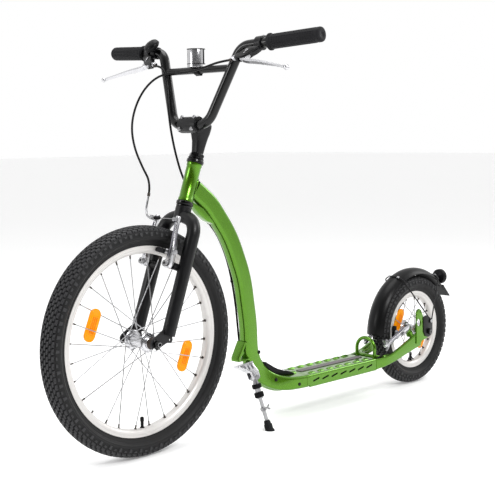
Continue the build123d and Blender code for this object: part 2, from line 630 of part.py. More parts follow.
arm_outline = [
    (DECK_REAR, DECK_BOTTOM + 1),
    (-352, 79),
    (-400, 88),
    (-436, 97),
    (-506, 113),
    (-506, 156),
    (-440, 130),
    (-391, 112),
    (-348, 103),
    (DECK_REAR, DECK_TOP - 1),
]
arm_hollow = [
    (DECK_REAR + 1, DECK_BOTTOM + 3),
    (-352, 81),
    (-400, 90),
    (-436, 99),
    (-504, 115),
    (-504, 153),
    (-440, 127.8),
    (-391, 110),
    (-348, 101),
    (DECK_REAR + 1, DECK_TOP - 3),
]
plate_outline = [
    (-484, 108),
    (-484, 214),
    (-492, 219),
    (-504, 216),
    (-514, 190),
    (-540, 184),
    (-548, 176),
    (-549, 142),
    (-540, 134),
    (-524, 128),
    (-504, 112),
]
arm_end = ARM_Y + ARM_WIDTH
arm = prism(arm_outline, ARM_Y, arm_end) - prism(arm_hollow, ARM_Y + 2, arm_end - 2)
dropout = prism(plate_outline, DROPOUT_INNER_Y, DROPOUT_INNER_Y + DROPOUT_THICKNESS)
axle_line = (REAR_AXLE.X, REAR_AXLE.Z)
dropout -= rod((axle_line[0], 50, axle_line[1]), (axle_line[0], 65, axle_line[1]), AXLE_RADIUS)
dropout -= block((-560, 50, axle_line[1] - AXLE_RADIUS), (axle_line[0], 65, axle_line[1] + AXLE_RADIUS))
dropout -= rod((-498, 50, 204), (-498, 65, 204), 2.6)
boss = rod((-6, BRAKE_POST_Y + 6, 0), (24, BRAKE_POST_Y + 6, 0), 6)
boss += rod((10, BRAKE_POST_Y, 0), (27, BRAKE_POST_Y, 0), 8)
boss += rod((26, BRAKE_POST_Y, 0), (51, BRAKE_POST_Y, 0), 4)
boss += rod((47, BRAKE_POST_Y, 0), (51, BRAKE_POST_Y, 0), 7)
left_arm = arm + dropout
arm_keep_out = prism(arm_hollow, ARM_Y + 2, arm_end - 2)
left_arm += mirror(rear_brake(boss), about=Plane.XZ) - arm_keep_out
yoke = bent([(-402, 50, 104), (-352, 47, 99), (-352, -47, 99), (-402, -50, 104)], [36, 36], 6)
cross_tube = rod((-330, -ARM_Y - 1, 89), (-330, ARM_Y + 1, 89), 8)
rear_arms = left_arm + mirror(left_arm, about=Plane.XZ)
rear_arms += yoke - arm_keep_out - mirror(arm_keep_out, about=Plane.XZ)
rear_arms += cross_tube
hoop_route = [(HOOP_X, HOOP_HALF_WIDTH, 90), (HOOP_X, HOOP_HALF_WIDTH, 152)]
hoop_route += [(x, -y, z) for x, y, z in reversed(hoop_route)]
hoop = bent(hoop_route, [29.5, 29.5], 4.8) - cross_tube - yoke

end_cover = prism([(44, 137), (50, 133), (30, 112), (-4, 104), (-14, 104), (-15, 114)], -13, 13) - tube_outer - nose
strip = block((-309, -10, DECK_TOP), (-67, 10, DECK_TOP + 1.5))
bracket_outline = [
    (110, 205),
    (132, 209),
    (166, 170),
    (166, 163),
    (92, 163),
    (92, 168),
    (158, 168),
    (129, 202),
    (112, 199),
]
stand_bracket = prism(bracket_outline, -13, 42) - tube_outer
bracket_pieces = stand_bracket.solids().sort_by(SortBy.VOLUME)
keep("main_tube", main_tube + gusset)
keep("kickstand_bracket", bracket_pieces[-1])
keep("deck_end_cover", end_cover.solids().sort_by(SortBy.VOLUME)[-1])
keep("deck_grip_strip", strip)
keep("brake_guard_hoop", hoop.solids().sort_by(SortBy.VOLUME)[-1])

# ---- rear mudguard, its stays and the rear reflector --------------------------------------------------
guard_face = make_face(
    [
        ThreePointArc((157, -28), (GUARD_RADIUS, 0), (157, 28)),
        Line((157, 28), (157, 26)),
        ThreePointArc((157, 26), (GUARD_RADIUS - 2, 0), (157, -26)),
        Line((157, -26), (157, -28)),
    ]
)
guard = revolve(guard_face, Axis((0, 0, 0), (0, -1, 0)), 139)
guard = Pos(REAR_AXLE) * Rot(0, -1.5, 0) * guard
flap = prism([(-664, 257), (-695, 226.5), (-695, 229.5), (-664, 262)], -20, 20)
keep("rear_mudguard", guard + flap)

stays = []
for side in (-1, 1):
    foot_y = side * 63.5
    for foot, top in (((-541, 181), (-463, 293)), ((-546, 181), (-622, 284))):
        stays.append(rod((foot[0], foot_y, foot[1]), (top[0], side * 31, top[1]), 1.75))
    eye = rod((-543, side * 60.2, 178), (-543, side * 65, 178), 5)
    stays[-1] = stays[-1] + stays[-2] + eye
    del stays[-2]
clip_strip = Pos(REAR_AXLE) * Rot(0, -63.5, 0) * block((GUARD_RADIUS + 0.2, -14, -7), (GUARD_RADIUS + 2, 14, 7))
keep("mudguard_stays", *stays, clip_strip)

lamp = rod((-666, 0, 284), (-679, 0, 284), 21) - rod((-675, 0, 284), (-680, 0, 284), 18.5)
lamp += block((-668, -6, 279), (-650, 6, 289)) - guard
red_lens = rod((-675, 0, 284), (-683, 0, 284), 18.4)
keep("rear_reflector_housing", lamp.solids().sort_by(SortBy.VOLUME)[-1])
keep("rear_reflector", red_lens)

# ---- kickstand: a fixed housing, and a leg that folds back along the deck -----------------------------
LEG_PIVOT = Vector(123.5, 31.5, 124.7)
LEG_DOWN = Vector(-0.1115, 0.27, -0.9567).normalized()
FOLDED = Vector(-1, 0.12, 0.05)
LEG_AXIS = LEG_DOWN.cross(FOLDED).normalized()
LEG = Plane(origin=LEG_PIVOT, x_dir=LEG_AXIS.cross(-LEG_DOWN), z_dir=-LEG_DOWN)
PIN_RADIUS = 3


def on_leg(shape):
    """A shape of the leg's own frame, whose y is the hinge and whose z points up the leg."""
    return LEG.location * shape


cheeks = rod((0, -11, 0), (0, 11, 0), 10.5) + block((-10.5, -11, 0), (10.5, 11, 16))
cheeks -= block((-20, -6.4, -20), (20, 6.4, 11))
top_face = Pos(8, -3, 34) * RectangleRounded(56, 28, 5)
low_face = Pos(0, 0, 13) * RectangleRounded(24, 22, 5)
cheeks += loft([low_face, top_face])
hinge_pin = rod((0, -12, 0), (0, 12, 0), PIN_RADIUS)
cheeks -= hinge_pin
floor_of_plate = block((60, -40, 163), (220, 90, 260))
housing = on_leg(cheeks) - floor_of_plate - tube_outer
knuckle = rod((0, -6, 0), (0, 6, 0), 9) + rod((0, 0, -4), (0, 0, -14), 5.8)
knuckle -= rod((0, -7, 0), (0, 7, 0), PIN_RADIUS + RUNNING_GAP)
upper_leg = rod((0, 0, -14), (0, 0, -52), 7, 4.5)
upper_leg += rod((0, 0, -13), (0, 0, -16), 7)
lower_leg = rod((0, 0, -16.5), (0, 0, -118), 4.4)
collars = [rod((0, 0, low), (0, 0, high), 11, 7) for low, high in ((-27, -16), (-49, -36))]
screw = rod((0, 0, -74), (0, 0, -82), 7, 4.4) + rod((-6, 0, -78), (-14, 0, -78), 2)
screw += block((-20, -1.2, -83), (-13, 1.2, -73))
below_ground = block((0, -50, -60), (250, 200, 0))
foot_profile = make_face(Polyline((4.4, -106), (7, -106), (13, -136), (13, -146), (4.4, -146), close=True))
foot = revolve(Plane.XZ * foot_profile, Axis.Z) + rod((0, 0, -118.3), (0, 0, -146), 5)
keep("kickstand_housing", housing.solids().sort_by(SortBy.VOLUME)[-1], on_leg(hinge_pin))
keep("kickstand_leg", on_leg(knuckle + upper_leg), on_leg(lower_leg))
keep("kickstand_fittings", *[on_leg(one) for one in collars + [screw]])
keep("kickstand_foot", on_leg(foot) - below_ground)
print("kickstand axis", LEG_AXIS, "pivot", LEG_PIVOT)

# ---- brake cables -----------------------------------------------------------------------------------
FRONT_CABLE = [
    (277.5, 128.7, 857),
    (283.6, 97, 854.5),
    (288, 62, 846),
    (289, 22, 838),
    (288, -22, 836),
    (293, -66, 837),
    (301, -102, 826),
    (316, -126, 798),
    (335, -133, 758),
    (352, -125, 715),
    (358, -108, 670),
    (358, -82, 628),
    (353.8, -58, 591.5),
    (361.7, -58, 563),
]
REAR_CABLE_BAR = [
    (277.5, -128.7, 857),
    (283.3, -103, 855.5),
    (288, -80, 843),
    (293, -66, 812),
    (299, -57, 775),
    (303, -50, 735),
    (300, -44, 690),
    (293, -38, 645),
    (284, -30, 603),
    (270, -23, 568),
]
REAR_CABLE_FRAME = [
    (270, -23, 568),
    (262.4, -19.2, 549),
    (242, -17, 523),
    (218, -17, 497),
    (188, -17, 463),
    (162, -17, 411),
    (145, -17, 353),
    (134, -17, 295),
    (128, -17.2, 240),
    (122, -17.4, 190),
    (104, -17.8, 146),
    (72, -19, 112),
    (34, -21, 90),
    (-12, -19, 82),
    (-66, -10, 83),
    (-126, 6, 84),
    (-186, 17, 85),
    (-244, 28, 87),
    (-288, 38, 90),
    (-317, 40.5, 95),
    (-338, 42, 104.5),
    (-350, 50.3, 110.1),
    (-355.7, 52.8, 119.4),
]
front_cable = cable("front_brake_cable", FRONT_CABLE)
keep("front_brake_cable", front_cable)
keep("rear_cable_bar_run", cable("rear_cable_bar_run", REAR_CABLE_BAR))
rear_frame_run = cable("rear_cable_frame_run", REAR_CABLE_FRAME)
keep("rear_cable_frame_run", rear_frame_run)
cable_room = bent(REAR_CABLE_FRAME, corner_radii(REAR_CABLE_FRAME), CABLE_RADIUS + 1.5)
nose -= cable_room
keep("deck_nose", nose.solids().sort_by(SortBy.VOLUME)[-1])
keep("deck_plate", deck)
keep("rear_arms", rear_arms)

os.makedirs("parts", exist_ok=True)
for name, solids in PARTS.items():
    export_step(Compound(solids), "parts/" + name + ".step")
print(len(PARTS), "pieces")
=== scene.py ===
"""Kick scooter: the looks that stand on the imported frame, laid out as an add-on.

Lengths in this file are millimetres until a piece is made, when Shape.piece turns them into metres.
"""
import functools
import json
import math

import bmesh
import bpy
from bpy.props import FloatProperty, FloatVectorProperty, IntProperty, PointerProperty
from mathutils import Matrix, Quaternion, Vector

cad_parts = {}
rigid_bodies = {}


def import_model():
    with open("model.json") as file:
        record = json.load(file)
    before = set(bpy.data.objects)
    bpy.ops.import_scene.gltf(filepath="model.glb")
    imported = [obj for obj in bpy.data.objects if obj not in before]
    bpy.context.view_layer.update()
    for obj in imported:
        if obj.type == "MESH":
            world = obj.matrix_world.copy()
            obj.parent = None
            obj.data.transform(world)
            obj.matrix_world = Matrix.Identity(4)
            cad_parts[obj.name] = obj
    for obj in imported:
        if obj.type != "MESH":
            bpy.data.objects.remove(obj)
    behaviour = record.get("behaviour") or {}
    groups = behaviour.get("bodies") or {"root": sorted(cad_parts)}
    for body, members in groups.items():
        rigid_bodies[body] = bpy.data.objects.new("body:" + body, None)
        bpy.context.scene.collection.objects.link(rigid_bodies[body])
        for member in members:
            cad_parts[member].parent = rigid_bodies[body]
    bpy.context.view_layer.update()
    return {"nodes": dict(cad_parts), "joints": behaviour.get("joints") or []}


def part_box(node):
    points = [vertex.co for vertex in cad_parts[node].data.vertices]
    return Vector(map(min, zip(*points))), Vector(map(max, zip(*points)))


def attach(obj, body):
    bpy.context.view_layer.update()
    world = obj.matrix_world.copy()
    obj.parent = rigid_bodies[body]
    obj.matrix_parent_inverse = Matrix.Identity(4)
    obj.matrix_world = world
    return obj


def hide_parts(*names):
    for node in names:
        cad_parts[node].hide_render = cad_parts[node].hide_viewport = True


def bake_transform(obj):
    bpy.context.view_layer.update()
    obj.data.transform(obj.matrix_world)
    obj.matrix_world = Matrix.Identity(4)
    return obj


bl_info = {
    "name": "Kick scooter",
    "version": (1, 0, 0),
    "blender": (4, 5, 0),
    "location": "3D View > Sidebar > Scooter",
    "description": "Builds the finished pieces of a kick scooter round its packed frame",
    "category": "Object",
}

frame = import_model()
JOINTS = {joint["name"]: joint for joint in frame["joints"]}
METRE = 1000.0


def corners(node):
    """A CAD node's lowest and highest corners, in millimetres."""
    low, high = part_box(node)
    return low * METRE, high * METRE


def middle(node):
    """The centre of a CAD node's box, in millimetres."""
    low, high = corners(node)
    return (low + high) / 2


def pivot(joint):
    """Where a joint turns, in millimetres."""
    return Vector(JOINTS[joint]["pos_m"]) * METRE


def hinge(joint):
    """The axis that a joint turns on."""
    return Vector(JOINTS[joint]["axis"]).normalized()


def axes(origin, along, towards):
    """A frame at origin whose z runs along one line and whose x leans towards another."""
    z = Vector(along).normalized()
    x = Vector(towards)
    x = (x - z * x.dot(z)).normalized()
    y = z.cross(x)
    rows = [(x[i], y[i], z[i], origin[i]) for i in range(3)]
    return Matrix(rows + [(0, 0, 0, 1)])


STEER = axes(pivot("steering"), hinge("steering"), (1, 0, 0))
FRONT_AXLE = middle("front_axle")
REAR_AXLE = middle("rear_axle")
FRONT_WHEEL = Matrix.Translation(FRONT_AXLE)
REAR_WHEEL = Matrix.Translation(REAR_AXLE)
MIRROR_Y = Matrix.Diagonal((1, -1, 1, 1))
SIDES = (-1, 1)


def crossways(x, y, z):
    """A frame at a point, whose z runs across the scooter to its left."""
    return axes((x, y, z), (0, 1, 0), (1, 0, 0))


ABOUT_Y = crossways(0, 0, 0)


# ---- mesh tools ---------------------------------------------------------------------------------
def circle(radius, sides, turn=0.0):
    """Points round a circle."""
    step = 2 * math.pi / sides
    return [(radius * math.cos(turn + step * i), radius * math.sin(turn + step * i)) for i in range(sides)]


def arc(radius, start, end, step, wide=None):
    """Points along an arc, for angles in degrees that stop before the end."""
    turns = [math.radians(angle) for angle in range(start, end, step)]
    return [((wide or radius) * math.cos(turn), radius * math.sin(turn)) for turn in turns]


def rounded(width, height, radius, steps=4):
    """Points round a rectangle with round corners."""
    found = []
    for sx, sy, start in ((1, 1, 0), (-1, 1, 90), (-1, -1, 180), (1, -1, 270)):
        for step in range(steps + 1):
            angle = math.radians(start + 90 * step / steps)
            x = sx * (width / 2 - radius) + radius * math.cos(angle)
            y = sy * (height / 2 - radius) + radius * math.sin(angle)
            found.append((x, y))
    return found


def smooth_path(points, steps=8):
    """A Catmull-Rom curve through some points, as closely spaced points."""
    knots = [Vector(p) for p in points]
    knots = [2 * knots[0] - knots[1]] + knots + [2 * knots[-1] - knots[-2]]
    found = []
    for a, b, c, d in zip(knots, knots[1:], knots[2:], knots[3:]):
        for step in range(steps):
            t = step / steps
            bend = 2 * b + (c - a) * t + (2 * a - 5 * b + 4 * c - d) * t * t
            bend += (3 * b - a - 3 * c + d) * t ** 3
            found.append(bend / 2)
    return found + [knots[-2]]


def placed(name, data):
    """A new object of the scene that shows some data."""
    made = bpy.data.objects.new(name, data)
    bpy.context.scene.collection.objects.link(made)
    return made


class Shape:
    """A mesh in the making, in millimetres."""

    def __init__(self):
        self.mesh = bmesh.new()

    def face(self, verts):
        """One face, left out where it would repeat another."""
        if len(set(verts)) > 2 and not self.mesh.faces.get(verts):
            self.mesh.faces.new(verts)

    def ring(self, points):
        """New vertices at some points."""
        return [self.mesh.verts.new(p) for p in points]

    def skin(self, rings, around=True, along=False, caps=True):
        """Quads between rings of equal length, with flat caps if the ends are open."""
        pairs = list(zip(rings, rings[1:])) + ([(rings[-1], rings[0])] if along else [])
        for one, two in pairs:
            count = len(one)
            for i in range(count if around else count - 1):
                j = (i + 1) % count
                self.face([one[i], one[j], two[j], two[i]])
        if caps and not along:
            self.face(list(reversed(rings[0])))
            self.face(rings[-1])

    def lathe(self, profile, at, sides=64, closed=False, caps=True):
        """An outline of (radius, height) pairs turned about the z of a frame."""
        rings = []
        for radius, height in profile:
            rings.append(self.ring([at @ Vector((x, y, height)) for x, y in circle(radius, sides)]))
        self.skin(rings, along=closed, caps=caps and not closed)

    def sweep(self, points, section, up=(0, 1, 0), closed=False):
        """A section of (across, up) points carried along a path."""
        path = [Vector(p) for p in points]
        count = len(path)
        side = None
        rings = []
        for i, point in enumerate(path):
            ahead = path[(i + 1) % count] if closed or i + 1 < count else point
            back = path[i - 1] if closed or i else point
            along = (ahead - back).normalized()
            side = Vector(up).cross(along) if side is None else side
            side = (side - along * side.dot(along)).normalized()
            over = along.cross(side)
            rings.append(self.ring([point + side * x + over * y for x, y in section]))
        self.skin(rings, along=closed)

    def tube(self, points, radius, sides=14, closed=False):
        """A round bar along a path."""
        first = Vector(points[1]) - Vector(points[0])
        up = (0, 1, 0) if abs(first.normalized().y) < 0.9 else (0, 0, 1)
        self.sweep(points, circle(radius, sides), up=up, closed=closed)

    def rod(self, start, end, radius, end_radius=None, sides=24, edge=0.0):
        """A round bar between two points, with a small chamfer at each end."""
        start = Vector(start)
        line = Vector(end) - start
        last = radius if end_radius is None else end_radius
        profile = [(radius, 0), (last, line.length)]
        if edge:
            profile = [(radius - edge, 0), (radius, edge)]
            profile += [(last, line.length - edge), (last - edge, line.length)]
        towards = (1, 0, 0) if abs(line.normalized().x) < 0.9 else (0, 0, 1)
        self.lathe(profile, axes(start, line, towards), sides)

    def slab(self, outline, low, high, at=Matrix.Identity(4), edge=0.0):
        """An outline of (x, y) points with a thickness along the z of a frame, and soft edges."""
        made = bmesh.new()
        bottom = [made.verts.new((x, y, low)) for x, y in outline]
        top = [made.verts.new((x, y, high)) for x, y in outline]
        for i in range(len(outline)):
            j = (i + 1) % len(outline)
            made.faces.new([bottom[i], bottom[j], top[j], top[i]])
        made.faces.new(list(reversed(bottom)))
        made.faces.new(top)
        if edge:
            rim = [e for e in made.edges if abs(e.verts[0].co.z - e.verts[1].co.z) < 1e-6]
            bmesh.ops.bevel(made, geom=rim, offset=edge, segments=2, profile=0.6, affect="EDGES")
        self.take(made, at)

    def block(self, size, at, edge):
        """A box centred on a frame, with all its edges softened."""
        made = bmesh.new()
        bmesh.ops.create_cube(made, size=1, matrix=Matrix.Diagonal((*size, 1)))
        bmesh.ops.bevel(made, geom=made.edges[:], offset=edge, segments=2, profile=0.6, affect="EDGES")
        self.take(made, at)

    def ribs(self, count, size, at, radius, height, edge):
        """Equal blocks set round the z of a frame."""
        for index in range(count):
            turn = Matrix.Rotation(2 * math.pi * index / count, 4, "Z")
            self.block(size, at @ turn @ Matrix.Translation((radius, 0, height)), edge)

    def ball(self, centre, radius):
        """A round knob."""
        made = bmesh.new()
        bmesh.ops.create_uvsphere(made, u_segments=24, v_segments=16, radius=radius)
        self.take(made, Matrix.Translation(centre))

    def take(self, made, at=Matrix.Identity(4)):
        """Another mesh, brought in at a place."""
        held = bpy.data.meshes.new("held")
        made.to_mesh(held)
        made.free()
        held.transform(at)
        self.mesh.from_mesh(held)
        bpy.data.meshes.remove(held)

    def mirrored(self):
        """The same shape with its reflection beside it, across the middle plane."""
        copy = self.mesh.copy()
        bmesh.ops.transform(copy, matrix=MIRROR_Y, verts=copy.verts)
        bmesh.ops.reverse_faces(copy, faces=copy.faces)
        self.take(copy)
        return self

    def moved(self, at):
        """The same shape at another place."""
        bmesh.ops.transform(self.mesh, matrix=at, verts=self.mesh.verts)
        if at.determinant() < 0:
            bmesh.ops.reverse_faces(self.mesh, faces=self.mesh.faces)
        return self

    def piece(self, name, finish, body, slot, replaces=(), crease=32.0):
        """The finished object, which rides on a body."""
        bmesh.ops.remove_doubles(self.mesh, verts=self.mesh.verts, dist=0.0005)
        bmesh.ops.recalc_face_normals(self.mesh, faces=self.mesh.faces)
        data = bpy.data.meshes.new(name)
        self.mesh.to_mesh(data)
        self.mesh.free()
        data.transform(Matrix.Scale(1 / METRE, 4))
        data.shade_smooth()
        data.set_sharp_from_angle(angle=math.radians(crease))
        data.materials.append(look(finish))
        made = placed(name, data)
        if replaces:
            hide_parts(*replaces)
        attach(made, body)


# ---- materials ----------------------------------------------------------------------------------
class Value:
    """A shader socket that takes part in sums."""

    def __init__(self, finish, socket):
        self.finish = finish
        self.socket = socket

    def sum(self, operation, first, second):
        """The outcome of a sum with one other value."""
        return self.finish.node("ShaderNodeMath", {"operation": operation}, {0: first, 1: second})

    def __add__(self, other):
        return self.sum("ADD", self, other)

    __radd__ = __add__

    def __sub__(self, other):
        return self.sum("SUBTRACT", self, other)

    def __rsub__(self, other):
        return self.sum("SUBTRACT", other, self)

    def __mul__(self, other):
        return self.sum("MULTIPLY", self, other)

    __rmul__ = __mul__

    def __truediv__(self, other):
        return self.sum("DIVIDE", self, other)

    def __rtruediv__(self, other):
        return self.sum("DIVIDE", other, self)

    def __pow__(self, other):
        return self.sum("POWER", self, other)


class Finish:
    """A material in the making."""

    def __init__(self, name):
        self.material = bpy.data.materials.new(name)
        self.material.use_nodes = True
        self.tree = self.material.node_tree
        self.shader = self.tree.nodes["Principled BSDF"]

    def node(self, kind, settings=None, inputs=None, output=0):
        """A node with its settings made first, and its inputs set or linked."""
        made = self.tree.nodes.new(kind)
        for key, value in (settings or {}).items():
            setattr(made, key, value)
        for key, value in (inputs or {}).items():
            self.feed(made.inputs[key], value)
        return Value(self, made.outputs[output])

    def feed(self, socket, value):
        """A value or a link into one socket."""
        if isinstance(value, Value):
            self.tree.links.new(value.socket, socket)
        elif socket.type == "RGBA":
            socket.default_value = (*value, 1)
        else:
            socket.default_value = value

    def place(self):
        """The point on the piece, in metres."""
        return self.node("ShaderNodeTexCoord", output=3)

    def noise(self, scale, detail=3.0, roughness=0.55, where=None):
        """Cloudy variation from 0 to 1."""
        where = where or self.place()
        return self.node("ShaderNodeTexNoise", {}, {
            "Vector": where, "Scale": scale, "Detail": detail, "Roughness": roughness})

    def cells(self, scale, output=0):
        """Distance to scattered points, or the colour of the nearest one."""
        return self.node("ShaderNodeTexVoronoi", {}, {"Vector": self.place(), "Scale": scale}, output=output)

    def split(self, where=None):
        """The x, y and z of a point."""
        where = where or self.place()
        first = self.node("ShaderNodeSeparateXYZ", {}, {"Vector": where})
        outputs = first.socket.node.outputs
        return [Value(self, outputs[i]) for i in range(3)]

    def steps(self, value, low, high):
        """A value turned into a mask that runs from 0 at low to 1 at high."""
        return self.node("ShaderNodeMapRange", {"interpolation_type": "SMOOTHSTEP"}, {
            "Value": value, "From Min": low, "From Max": high})

    def mix(self, factor, first, second):
        """A colour between two others."""
        return self.node("ShaderNodeMix", {"data_type": "RGBA"}, {0: factor, 6: first, 7: second}, output=2)

    def edge(self, low, high):
        """A mask of worn convex edges."""
        pointy = self.node("ShaderNodeNewGeometry", output=7)
        return self.steps(pointy, low, high)

    def bump(self, height, strength, distance):
        """A bump that feeds the surface's normal."""
        return self.node("ShaderNodeBump", {}, {"Strength": strength, "Distance": distance, "Height": height})

    def set(self, **values):
        """Values and links of the surface shader."""
        for key, value in values.items():
            self.feed(self.shader.inputs[key.replace("_", " ")], value)
        return self.material


SHEEN = 0.10


def scaled(colour, share, lift=0.0):
    """A colour made darker or lighter."""
    return [min(1, part * share + lift) for part in colour]


def paint(name, colour, metallic, roughness, flake, gloss):
    """Sprayed gloss paint with flake, slight orange peel and thin wear on its edges."""
    made = Finish(name)
    grain = made.split(made.cells(1400, output=1))[0]
    tone = made.mix(made.noise(14, 4) * 0.35 + grain * flake, scaled(colour, 0.78), scaled(colour, 1.22))
    worn = made.mix(made.edge(0.58, 0.70) * 0.3, tone, scaled(colour, 1.7, 0.004))
    return made.set(
        Base_Color=worn, Metallic=metallic, Roughness=made.noise(40, 5) * 0.10 + roughness,
        Specular_IOR_Level=gloss * 0.6, Coat_Weight=gloss, Coat_Roughness=0.05,
        Normal=made.bump(made.noise(260, 2), 0.06, 0.0004))


def green_paint():
    return paint("green metallic paint", tuple(chosen().green), 0.80, 0.20, 0.40, 0.5)


def black_paint():
    return paint("gloss black paint", (0.0015, 0.0015, 0.0017), 0.0, 0.2, 0.15, 0.3)


def metal(name, colour, roughness, scratch, depth=0.12):
    """Bare metal with fine random scratches and handling marks."""
    made = Finish(name)
    x, y, z = made.split()
    streaky = made.node("ShaderNodeCombineXYZ", {}, {0: x * 0.12, 1: y, 2: z * 0.12})
    fine = made.noise(1800, 2, where=streaky)
    cloud = made.noise(30, 5)
    return made.set(
        Base_Color=made.mix(cloud, scaled(colour, 0.80), scaled(colour, 1.12)), Metallic=1.0,
        Roughness=cloud * 0.12 + fine * scratch + roughness, Normal=made.bump(fine, depth, 0.0003))


def alloy():
    return metal("polished alloy", (0.62, 0.62, 0.64), 0.14, 0.10)


def cast_alloy():
    return metal("grey cast alloy", (0.30, 0.295, 0.33), 0.26, 0.12, 0.3)


def steel():
    return metal("bright steel", (0.36, 0.36, 0.37), 0.18, 0.12)


def dark_steel():
    return metal("dark brass and steel", (0.07, 0.06, 0.055), 0.32, 0.10)


def rim_alloy():
    """Pale anodised alloy with a little grime."""
    made = Finish("pale anodised alloy")
    cloud = made.noise(9, 5)
    grime = made.steps(made.noise(55, 6), 0.55, 0.8)
    tone = made.mix(cloud, (0.58, 0.56, 0.54), (0.70, 0.685, 0.67))
    return made.set(
        Base_Color=made.mix(grime * 0.25, tone, (0.36, 0.34, 0.32)), Metallic=0.35,
        Roughness=cloud * 0.14 + 0.30, Normal=made.bump(made.noise(1500, 2), 0.10, 0.0003))


def moulded(name, cloud, tones, wear, rough, relief, sheen=SHEEN, coat=0.0):
    """A cloudy black material, paler on its worn edges and finely grained. On the tyre the paler edges are
    dust and a painted highlight.
    """
    made = Finish(name)
    blotch = made.noise(*cloud)
    tone = made.mix(blotch, *tones)
    # paler edges: wear, and on the tyre also dust and a painted highlight on the knob tops
    if wear:
        low, high, share, pale = wear
        tone = made.mix(made.edge(low, high) * share, tone, pale)
    spread, least = rough
    grain, strength, distance = relief
    height = made.noise(*grain) if len(grain) == 2 else made.cells(*grain)
    return made.set(
        Base_Color=tone, Roughness=blotch * spread + least, Specular_IOR_Level=sheen, Coat_Weight=coat,
        Coat_Roughness=0.25, Normal=made.bump(height, strength, distance))


def satin_black():
    """Fine powder coat."""
    made = Finish("satin black powder coat")
    tone = made.mix(made.noise(22, 4), (0.002, 0.002, 0.0023), (0.006, 0.006, 0.007))
    return made.set(
        Base_Color=made.mix(made.edge(0.57, 0.68) * 0.4, tone, (0.04, 0.04, 0.045)), Specular_IOR_Level=0.28,
        Roughness=made.noise(60, 4) * 0.14 + 0.30, Normal=made.bump(made.noise(900, 3), 0.18, 0.0003))


def tyre_rubber():
    """Black rubber, paler on its edges: a little dust, and a painted highlight on the knob tops."""
    return moulded(
        "black tyre rubber", (18, 6), [(0.0015, 0.0015, 0.0017), (0.005, 0.005, 0.0055)],
        # these edges are a little dust and a painted highlight on the knob tops
        (0.51, 0.56, 0.9, (0.034, 0.034, 0.036)), (0.22, 0.46), ((1300, 3), 0.25, 0.0004), sheen=0.3)


def soft_rubber():
    return moulded(
        "matt soft rubber", (26, 5), [(0.009, 0.009, 0.010), (0.020, 0.020, 0.022)],
        (0.55, 0.66, 0.4, (0.045, 0.045, 0.048)), (0.2, 0.48), ((1100, 3), 0.3, 0.0004))


def black_plastic():
    """Plastic with a fine spark-eroded grain."""
    return moulded(
        "moulded black plastic", (24, 4), [(0.004, 0.004, 0.0045), (0.011, 0.011, 0.012)],
        (0.56, 0.68, 0.4, (0.04, 0.04, 0.045)), (0.16, 0.30), ((1600,), 0.22, 0.0004))


def gloss_black():
    return moulded(
        "gloss black shell", (20, 4), [(0.002, 0.002, 0.0022), (0.005, 0.005, 0.0055)],
        None, (0.10, 0.34), ((220, 2), 0.04, 0.0004), coat=0.12)


def cable_black():
    return moulded(
        "black cable housing", (70, 3), [(0.003, 0.003, 0.003), (0.010, 0.010, 0.011)],
        None, (0.12, 0.26), ((600, 2), 0.15, 0.0003))


def grip_strip():
    """A grey strip with sharp grit set in it."""
    made = Finish("grey gritted strip")
    fleck = made.split(made.cells(900, output=1))[1]
    tone = made.mix(fleck * 0.6 + made.noise(30, 5) * 0.4, (0.075, 0.064, 0.070), (0.19, 0.17, 0.18))
    dirt = made.steps(made.noise(16, 6), 0.52, 0.75) * 0.5
    return made.set(
        Base_Color=made.mix(dirt, tone, (0.05, 0.044, 0.044)), Roughness=fleck * 0.3 + 0.55,
        Normal=made.bump(made.cells(720), 0.9, 0.0010))


def lens(name, colour, painted_glow):
    """Clear moulded plastic over a grid of small cube corners, with a painted glow: it shines a little though
    it is no lamp.
    """
    made = Finish(name)
    x, _, z = made.split()
    pitch = 2 * math.pi / 0.0032
    row = made.node("ShaderNodeMath", {"operation": "SINE"}, {0: (x + z) * pitch})
    other = made.node("ShaderNodeMath", {"operation": "SINE"}, {0: (x - z) * pitch})
    prism = row * other
    cloud = made.noise(60, 3)
    tone = made.mix(prism * 0.35 + cloud * 0.3 + 0.25, scaled(colour, 0.62), colour)
    # the emission is a painted glow: the reflector gives no light of its own
    return made.set(
        Base_Color=tone, Roughness=cloud * 0.08 + 0.14, Coat_Weight=0.15, Coat_Roughness=0.03,
        Specular_IOR_Level=SHEEN, Emission_Color=tone, Emission_Strength=painted_glow,
        Normal=made.bump(prism, 0.5, 0.0006))


# the last number of each reflector is the strength of its painted glow
def amber():
    return lens("amber reflector", (1.0, 0.34, 0.0), 0.30)


def amber_core():
    return lens("deep amber prisms", (1.0, 0.19, 0.0), 0.22)


def red_lens():
    return lens("red reflector", (0.50, 0.03, 0.02), 0.04)


def clear_lens():
    """A silvered clear reflector."""
    made = Finish("clear reflector")
    x, y, z = made.split()
    cloud = made.noise(35, 4)
    band = made.noise(90, 2, where=made.node("ShaderNodeCombineXYZ", {}, {0: x, 1: y, 2: z * 0.02}))
    tone = made.mix(band * 0.3 + cloud * 0.3, (0.42, 0.42, 0.43), (0.78, 0.78, 0.80))
    return made.set(
        Base_Color=tone, Metallic=0.85, Roughness=cloud * 0.1 + 0.10, Coat_Weight=0.4, Coat_Roughness=0.03,
        Normal=made.bump(band, 0.12, 0.0006))


def backdrop():
    """The pale floor."""
    made = Finish("pale floor")
    cloud = made.noise(0.6, 3)
    tone = made.mix(cloud, (0.90, 0.90, 0.90), (0.94, 0.94, 0.94))
    return made.set(
        Base_Color=tone, Roughness=cloud * 0.1 + 0.5, Specular_IOR_Level=SHEEN, Emission_Color=tone,
        Emission_Strength=0.22)


